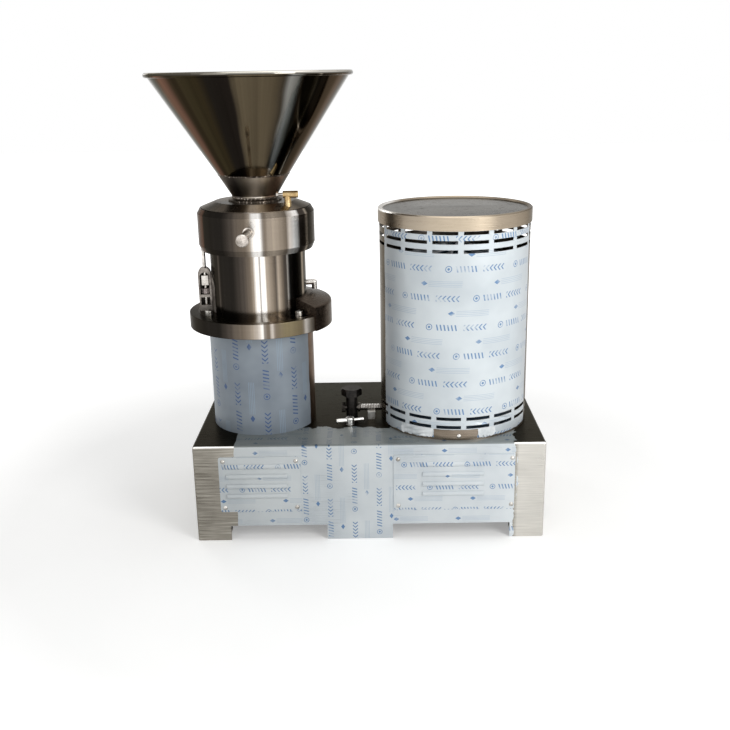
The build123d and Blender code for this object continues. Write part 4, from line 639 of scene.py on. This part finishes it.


# Turned steel. Ring, body, flange disc and cover are lathe-turned stainless. Fine grooves run
# round the axis and draw light out into upright streaks; the streaks and dark bands in their colour are
# painted reflections, with painted highlights.
def turned_steel(name, bands, rough=0.24, centre=mill_axis):
    """Grooved steel whose tone follows painted reflection bands, given by place on a turn from back to back.
    """
    material, tree, shader = new_finish(name)
    x, y, z = place(tree, centre)
    radius, azimuth = around_axis(x, y)
    cloud, marks = use_group(tree, smudge_group, x, y, z)
    lines = use_group(tree, grain_group, azimuth * 2.0, radius * 900.0, z * 900.0)[0]
    streak = noisy(tree, azimuth * 34.0, 0.0, z * 0.6, detail=3.0)
    turn_place = azimuth * 0.5 + 0.5 + (streak - 0.5) * 0.012
    tone = ramp(tree, turn_place, bands)
    for share, mask, dark in ((0.35, streak, (0.40, 0.37, 0.34)), (0.3, lines, (0.60, 0.58, 0.56))):
        tone = mixed(tree, share, tone, ramp(tree, mask, [(0.33, dark), (0.67, (1, 1, 1))]), "MULTIPLY")
    feed(tree, shader, Base_Color=tone, Metallic=1.0, Anisotropic=0.55,
         Roughness=lines * 0.12 + cloud * 0.08 + marks * 0.05 + (rough - 0.1))
    tangent = tree.nodes.new("ShaderNodeTangent")
    tangent.direction_type = "RADIAL"
    tangent.axis = "Z"
    tree.links.new(tangent.outputs[0], shader.inputs["Tangent"])
    dark_edge(shader)
    bumped(tree, shader, lines, 0.12, 0.0004)
    return material


# Tones of the band tables, which are painted reflections round each turned part; the white stops are painted
# highlights.
steel_black = (0.016, 0.014, 0.012)
steel_dark = (0.060, 0.050, 0.042)
steel_dim = (0.150, 0.122, 0.095)
steel_warm = (0.330, 0.280, 0.225)
steel_pale = (0.580, 0.530, 0.480)
steel_white = (0.950, 0.930, 0.900)
# A reddish stripe of painted reflection in the ring's bands.
reflected_red = (0.090, 0.050, 0.036)
ring_reflection_bands = [
    (0.000, steel_warm), (0.200, steel_dim), (0.292, steel_dark), (0.302, reflected_red), (0.340, reflected_red),
    (0.347, steel_black), (0.420, steel_black), (0.452, steel_dark), (0.484, steel_dim),
    (0.499, steel_warm), (0.508, steel_white), (0.526, steel_white), (0.536, steel_dim),
    (0.560, steel_warm), (0.598, steel_dim), (0.606, steel_pale), (0.636, steel_white),
    (0.644, steel_dark), (0.668, steel_dark), (0.676, steel_warm), (0.686, steel_black),
    (0.760, steel_dark), (0.850, steel_warm), (1.000, steel_warm),
]
body_reflection_bands = [
    (0.000, steel_warm), (0.240, steel_dark), (0.300, steel_black), (0.362, steel_black),
    (0.367, steel_dark), (0.374, steel_black), (0.430, steel_black), (0.470, steel_dark), (0.488, steel_dim),
    (0.502, steel_warm), (0.507, steel_white), (0.518, steel_white), (0.523, steel_dim),
    (0.529, steel_white), (0.537, steel_white), (0.543, steel_warm), (0.564, steel_dim),
    (0.574, steel_dark), (0.580, steel_warm), (0.594, steel_dim), (0.604, steel_dark),
    (0.613, steel_dark), (0.618, steel_pale), (0.627, steel_black), (0.690, steel_black),
    (0.700, steel_warm), (0.712, steel_black), (0.760, steel_dark), (0.850, steel_warm), (1.000, steel_warm),
]
disc_reflection_bands = [
    (0.000, steel_warm), (0.220, steel_dark), (0.270, steel_black), (0.425, steel_black),
    (0.450, steel_dark), (0.480, steel_dim), (0.500, steel_warm), (0.516, steel_pale),
    (0.522, steel_white), (0.528, steel_dim), (0.536, steel_dim), (0.541, steel_pale),
    (0.548, steel_dim), (0.570, (0.18, 0.15, 0.09)), (0.612, (0.15, 0.12, 0.075)),
    (0.624, steel_pale), (0.636, steel_warm), (0.650, steel_dim), (0.720, steel_dark),
    (0.850, steel_warm), (1.000, steel_warm),
]
cover_reflection_bands = [
    (0.000, steel_warm), (0.250, steel_dim), (0.340, steel_black), (0.430, steel_dark),
    (0.480, steel_dim), (0.500, steel_pale), (0.530, steel_warm), (0.580, steel_dim),
    (0.620, steel_warm), (0.680, steel_dark), (0.760, steel_dim), (1.000, steel_warm),
]
inner_bands = [
    (0.00, steel_warm), (0.25, steel_pale), (0.50, steel_warm), (0.75, steel_pale), (1.00, steel_warm),
]
dress(turned_steel("turned_ring", ring_reflection_bands), "adjusting_ring", "ring_retainer")
dress(turned_steel("turned_body", body_reflection_bands, rough=0.21), "mill_body")
dress(turned_steel("turned_disc", disc_reflection_bands, rough=0.30), "mill_flange")
dress(turned_steel("turned_cover", cover_reflection_bands, rough=0.22), "feed_cover")
dress(turned_steel("turned_inner", inner_bands, rough=0.32), "stator_carrier", "spindle",
      "discharge_impeller", "feed_auger", "lower_bearing_cap", "bearing_housing",
      "bearing_inner_rings", "bearing_outer_rings", "mill_stator", "mill_rotor", "guide_keys")
dress(turned_steel("turned_shaft", inner_bands, centre=motor_axis), "motor_shaft")

# Hopper. Two rolled and welded cones with a rolled rim. The wide cone is mirror polished outside, and its
# long brown, olive and blue streaks, with a reddish one at the left, are painted reflections; the lower cone
# is duller.
hopper_low, hopper_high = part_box("hopper")
hopper_rim_radius = (hopper_high.x - hopper_low.x) / 2
rim_bead = 0.006
rim_z = hopper_high.z - rim_bead
wide_cone_h = 0.232
seam_z, seam_radius = rim_z - wide_cone_h, 0.087
wide_slope = (hopper_rim_radius - rim_bead - seam_radius) / (rim_z - seam_z)
# Painted reflections round the wide cone, from back to back, with a blue and a reddish one at the left.
hopper_reflection_streaks = [
    (0.000, (0.110, 0.090, 0.060)), (0.120, (0.055, 0.042, 0.028)), (0.240, (0.016, 0.014, 0.011)),
    (0.262, (0.240, 0.290, 0.350)), (0.280, (0.110, 0.130, 0.150)), (0.298, (0.016, 0.018, 0.016)),
    (0.335, (0.022, 0.024, 0.016)), (0.348, (0.130, 0.066, 0.045)), (0.368, (0.095, 0.052, 0.038)),
    (0.384, (0.026, 0.019, 0.012)), (0.410, (0.034, 0.027, 0.014)), (0.442, (0.024, 0.018, 0.009)),
    (0.455, (0.013, 0.011, 0.009)), (0.488, (0.015, 0.012, 0.010)), (0.500, (0.105, 0.085, 0.055)),
    (0.555, (0.090, 0.072, 0.046)), (0.572, (0.035, 0.028, 0.020)), (0.583, (0.240, 0.245, 0.235)),
    (0.597, (0.120, 0.120, 0.108)), (0.604, (0.018, 0.015, 0.012)), (0.624, (0.055, 0.047, 0.031)),
    (0.629, (0.440, 0.390, 0.320)), (0.634, (0.028, 0.022, 0.016)), (0.680, (0.060, 0.042, 0.028)),
    (0.700, (0.075, 0.050, 0.038)), (0.720, (0.020, 0.016, 0.012)), (0.860, (0.110, 0.090, 0.060)),
    (1.000, (0.110, 0.090, 0.060)),
]


def hopper_mirror():
    material, tree, shader = new_finish("polished_hopper")
    x, y, z = place(tree, mill_axis)
    radius, azimuth = around_axis(x, y)
    cloud, marks = use_group(tree, smudge_group, x, y, z)
    drift = noisy(tree, azimuth * 3.0, 0.0, z * 5.0)
    streak = noisy(tree, azimuth * 22.0, 0.0, z * 0.8, detail=3.0)
    turn_place = azimuth * 0.5 + 0.5 + (streak - 0.5) * 0.020 + (drift - 0.5) * 0.030
    tone = ramp(tree, turn_place, hopper_reflection_streaks)
    tone = mixed(tree, 0.6, tone, ramp(tree, streak, [(0.35, (0.55, 0.5, 0.45)), (0.65, (1.2, 1.15, 1.1))]),
                 "MULTIPLY")
    # Painted reflection on the lower cone: dark at the left, a pale streak just right of the front.
    lower = ramp(tree, azimuth * 0.5 + 0.5, [
        (0.0, steel_dim), (0.3, steel_dark), (0.42, steel_dark), (0.47, (0.26, 0.225, 0.18)),
        (0.53, (0.62, 0.57, 0.50)), (0.58, (0.20, 0.17, 0.13)), (0.64, (0.26, 0.17, 0.12)),
        (0.70, steel_dark), (1.0, steel_dim)])
    tone = mixed(tree, z.below(seam_z, 0.001), tone, lower)
    outer_radius = (z - seam_z) * wide_slope + seam_radius
    inside = (radius - outer_radius).below(-0.0011, 0.0006) * z.below(seam_z + 0.004, 0.001).inverse()
    rim = z.below(hopper_high.z - 0.0075, 0.002).inverse()
    # Painted highlight on the rim bead, brightest to the right of the front, with painted shade under the
    # bead.
    rim_bead_highlight = ramp(tree, azimuth * 0.5 + 0.5 + (streak - 0.5) * 0.06, [
        (0.25, (0.05, 0.045, 0.03)), (0.44, (0.10, 0.09, 0.07)), (0.50, (0.42, 0.40, 0.35)),
        (0.60, (0.66, 0.63, 0.57)), (0.72, (0.52, 0.50, 0.46))])
    shade_under_bead = z.below(rim_z + 0.001, 0.003)
    rim_bead_highlight = mixed(tree, shade_under_bead, rim_bead_highlight, (0.030, 0.026, 0.020))
    tone = mixed(tree, inside, tone, (0.30, 0.275, 0.24))
    tone = mixed(tree, rim * inside.inverse(), tone, rim_bead_highlight)
    seam = z.near(seam_z, 0.0022, 0.0012) * radius.below(seam_radius + 0.006, 0.001)
    foot = z.below(hopper_low.z + 0.022, 0.001)
    # Weld beads at the seam and foot: a dark weld tone with pale spots that are painted glints.
    spots = noisy(tree, azimuth * 40.0, 0.0, z * 160.0, detail=2.0)
    weld_tone_and_glints = ramp(tree, spots, [(0.48, steel_dark), (0.58, steel_dim), (0.66, steel_pale)])
    tone = mixed(tree, seam.either(foot), tone, weld_tone_and_glints)
    matt = z.below(seam_z, 0.001) * 0.26
    feed(tree, shader, Base_Color=tone, Metallic=1.0, Roughness=cloud * 0.08 + marks * 0.04 + matt + 0.055)
    dark_edge(shader)
    bumped(tree, shader, cloud * 0.5 + streak * 0.4, 0.06, 0.0015)
    return material


dress(hopper_mirror(), "hopper")


# Small parts. Handles, screws, lever and elbows are turned or plated steel with their own grain, the
# outlet elbow is brass, the yoke is a machined casting, and the post is blackened.
def small_metal(name, dark, light, rough, grain=500.0, metal=1.0):
    material, tree, shader = new_finish(name)
    x, y, z = place(tree)
    cloud, marks = use_group(tree, smudge_group, x * 6.0, y * 6.0, z * 6.0)
    lines, scratches = use_group(tree, grain_group, x * grain, y * grain * 0.3, z * grain)
    feed(tree, shader, Metallic=metal, Roughness=lines * 0.16 + marks * 0.12 + (rough - 0.08),
         Base_Color=ramp(tree, cloud * 0.7 + lines * 0.3, [(0.36, dark), (0.64, light)]))
    dark_edge(shader)
    bumped(tree, shader, lines + scratches * 0.6, 0.18, 0.0003)
    return material


dress(small_metal("handle_steel", (0.20, 0.175, 0.15), (0.62, 0.57, 0.52), 0.24), "ring_handles")
dress(small_metal("bright_steel", (0.30, 0.275, 0.25), (0.74, 0.71, 0.67), 0.24),
      "water_inlet_elbow", "water_outlet_plug", "lock_rod", "retainer_screws")
dress(small_metal("ground_bar", (0.66, 0.64, 0.60), (0.95, 0.94, 0.91), 0.30, 150.0),
      "clamp_lever", "square_head_bolt")
dress(small_metal("plated_steel", (0.24, 0.225, 0.20), (0.66, 0.64, 0.60), 0.30),
      "cover_screws", "pedestal_bolts", "body_bolts", "plate_clamp_bolts")
dress(small_metal("black_oxide", (0.016, 0.015, 0.015), (0.060, 0.054, 0.050), 0.34, metal=0.85),
      "tension_post")
dress(small_metal("worn_nut", (0.16, 0.13, 0.125), (0.42, 0.37, 0.355), 0.36), "lock_nut")
casting_dark, casting_light = (0.085, 0.072, 0.062), (0.40, 0.365, 0.33)
machined_casting = small_metal("machined_casting", casting_dark, casting_light, 0.40, 160.0, 0.9)
dress(machined_casting, "lock_yoke")
dress(small_metal("old_brass", (0.32, 0.19, 0.07), (0.66, 0.50, 0.27), 0.28), "water_outlet_elbow")
dress(small_metal("grey_iron", (0.12, 0.12, 0.12), (0.26, 0.26, 0.265), 0.45),
      "driven_pulley", "drive_pulley", "motor_core")


# Tension screw. Its shank is darker, and a bright rolled thread runs along it from the collar
# towards the shroud; the thread's pale tone is a painted glint on its crests.
screw_low, screw_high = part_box("tension_screw")
screw_height = (screw_low.z + screw_high.z) / 2
shank_radius, thread_crest, thread_pitch = 0.0080, 0.0009, 0.0042
thread_steps = 20
collar_end = base_low.x + 0.4085
thread_end = base_low.x + 0.4615
dark_screw = small_metal("dark_screw", (0.025, 0.022, 0.020), (0.16, 0.145, 0.13), 0.30)
dress(dark_screw, "tension_screw")
thread = bmesh.new()
thread_root, thread_top = shank_radius - 0.0004, shank_radius + thread_crest
thread_start = Vector((collar_end, motor_axis[1], screw_height))
ridge = [thread.verts.new(thread_start + Vector((along * thread_pitch, 0, up)))
         for along, up in ((0.05, thread_root), (0.40, thread_top), (0.60, thread_top), (0.95, thread_root))]
ridge_edges = [thread.edges.new(pair) for pair in zip(ridge, ridge[1:] + ridge[:1])]
thread_turns = (thread_end - collar_end) / thread_pitch - 1.0
bmesh.ops.spin(thread, geom=ridge + ridge_edges, cent=thread_start, axis=(1, 0, 0),
               dvec=(thread_pitch / thread_steps, 0, 0), angle=2 * math.pi * thread_turns,
               steps=int(thread_steps * thread_turns))
bmesh.ops.holes_fill(thread, edges=[edge for edge in thread.edges if edge.is_boundary])
bmesh.ops.recalc_face_normals(thread, faces=thread.faces)
# Painted glints: the thread takes a paler steel than the shank.
bright_thread = small_metal("bright_thread", (0.30, 0.28, 0.26), (0.80, 0.78, 0.75), 0.22)
add_piece("tension_screw_thread", thread, bright_thread, "tension_group")


# Ring lock's sheet parts. A rolled saddle strap spreads the lock's load on the body, and an arched
# back plate closes the yoke's window. Both are cut from thin sheet and welded on.
body_radius = 0.118
lock_turn = math.radians(-84.0)
lock_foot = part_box("lock_yoke")[0].z
yoke_middle, yoke_half = 0.135, 0.013
back_width, back_height, back_thickness = 0.030, 0.104, 0.0014


def arched_plate(width, height, thickness):
    """Upright plate with a round top, centred on X, standing on z = 0 and as thick as it says to +Y."""
    form = bmesh.new()
    centre = (0, 0, height - width / 2)
    shoulder = form.verts.new((width / 2, 0, height - width / 2))
    arc = bmesh.ops.spin(form, geom=[shoulder], cent=centre, axis=(0, -1, 0), dvec=(0, 0, 0),
                         angle=math.pi, steps=18)
    last = next(part for part in arc["geom_last"] if isinstance(part, bmesh.types.BMVert))
    low_right, low_left = form.verts.new((width / 2, 0, 0)), form.verts.new((-width / 2, 0, 0))
    for pair in ((shoulder, low_right), (low_right, low_left), (low_left, last)):
        form.edges.new(pair)
    bmesh.ops.contextual_create(form, geom=form.edges[:])
    grown = bmesh.ops.extrude_face_region(form, geom=form.faces[:])["geom"]
    raised = [part for part in grown if isinstance(part, bmesh.types.BMVert)]
    bmesh.ops.translate(form, verts=raised, vec=(0, thickness, 0))
    return form


# Painted shade: the back plate in the yoke's window takes a much darker copy of the casting finish.
window_shade_casting = small_metal("window_shade_casting", (0.020, 0.017, 0.015), (0.10, 0.088, 0.078), 0.42, 160.0, 0.9)
back_plate = arched_plate(back_width, back_height, back_thickness)
outward = Vector((math.sin(lock_turn), -math.cos(lock_turn), 0))
backward = Vector((-math.cos(lock_turn), -math.sin(lock_turn), 0))
mill_point = Vector((mill_axis[0], mill_axis[1], lock_foot))
plate_origin = mill_point + outward * yoke_middle + backward * yoke_half
for vert in back_plate.verts:
    vert.co = plate_origin + outward * vert.co.x + backward * vert.co.y + Vector((0, 0, vert.co.z))
bmesh.ops.recalc_face_normals(back_plate, faces=back_plate.faces)
add_piece("lock_back_plate", back_plate, window_shade_casting, "frame")

saddle_width, saddle_height, saddle_thickness = 0.074, 0.098, 0.0010
saddle_turn = math.radians(-79.0)
saddle_gap = 0.00015
saddle_bends = 16
saddle = arched_plate(saddle_width, saddle_height, saddle_thickness)
for bend in range(1, saddle_bends):
    across = (bend / saddle_bends - 0.5) * saddle_width
    bmesh.ops.bisect_plane(saddle, geom=saddle.verts[:] + saddle.edges[:] + saddle.faces[:],
                           plane_co=(across, 0, 0), plane_no=(1, 0, 0))
for vert in saddle.verts:
    turn = saddle_turn + vert.co.x / body_radius
    reach = body_radius + saddle_gap + saddle_thickness - vert.co.y
    vert.co = mill_point + Vector((math.sin(turn) * reach, -math.cos(turn) * reach, vert.co.z))
bmesh.ops.recalc_face_normals(saddle, faces=saddle.faces)
add_piece("lock_saddle", saddle, machined_casting, "frame")


# Shroud's foot screw. A pan head turned from plated wire, in front, all in the thread's bright steel.
foot_screw = bmesh.new()
pan_radius, pan_height, pan_level = 0.0052, 0.0030, 0.011
pan_gap = 0.0001
pan_profile = [foot_screw.verts.new((out * pan_radius, 0, up * pan_height))
               for out, up in ((0.0, 1.0), (0.45, 0.96), (0.80, 0.74), (1.0, 0.30), (1.0, 0.0), (0.0, 0.0))]
pan_edges = [foot_screw.edges.new(pair) for pair in zip(pan_profile, pan_profile[1:])]
bmesh.ops.spin(foot_screw, geom=pan_profile + pan_edges, cent=(0, 0, 0), axis=(0, 0, 1), dvec=(0, 0, 0),
               angle=2 * math.pi, steps=28, use_merge=True)
bmesh.ops.remove_doubles(foot_screw, verts=foot_screw.verts, dist=0.00001)
bmesh.ops.recalc_face_normals(foot_screw, faces=foot_screw.faces)
for vert in foot_screw.verts:
    seat = around_motor(0.0, shroud_radius + pan_gap + vert.co.z, pan_level)
    vert.co = seat + Vector((vert.co.x, 0, vert.co.y))
bmesh.ops.recalc_face_normals(foot_screw, faces=foot_screw.faces)
add_piece("shroud_foot_screw", foot_screw, bright_thread, "frame")


# Painted and moulded parts. The motor is blue-grey enamel over a cast skin. Belts and seals are
# black rubber, and the fan and the gland are black plastic.
def coated(name, dark, light, rough, lump, coat=0.0):
    material, tree, shader = new_finish(name)
    x, y, z = place(tree)
    cloud, marks = use_group(tree, smudge_group, x, y, z)
    skin = noisy(tree, x * lump, y * lump, z * lump, detail=3.0)
    feed(tree, shader, Roughness=skin * 0.2 + marks * 0.1 + (rough - 0.1), Coat_Weight=coat,
         Base_Color=ramp(tree, cloud * 0.7 + skin * 0.3, [(0.34, dark), (0.66, light)]))
    bumped(tree, shader, skin, 0.25, 0.0006)
    return material


dress(coated("motor_enamel", (0.07, 0.11, 0.16), (0.13, 0.19, 0.26), 0.38, 260.0, 0.2),
      "motor_plate", "motor_flange_shield", "motor_frame", "motor_top_shield", "fan_cover", "terminal_box")
dress(coated("black_rubber", (0.012, 0.012, 0.012), (0.035, 0.035, 0.034), 0.72, 700.0),
      "v_belts", "carrier_o_rings", "shaft_seal")
dress(coated("black_plastic", (0.015, 0.015, 0.016), (0.04, 0.04, 0.042), 0.45, 900.0),
      "cable_gland", "motor_fan")
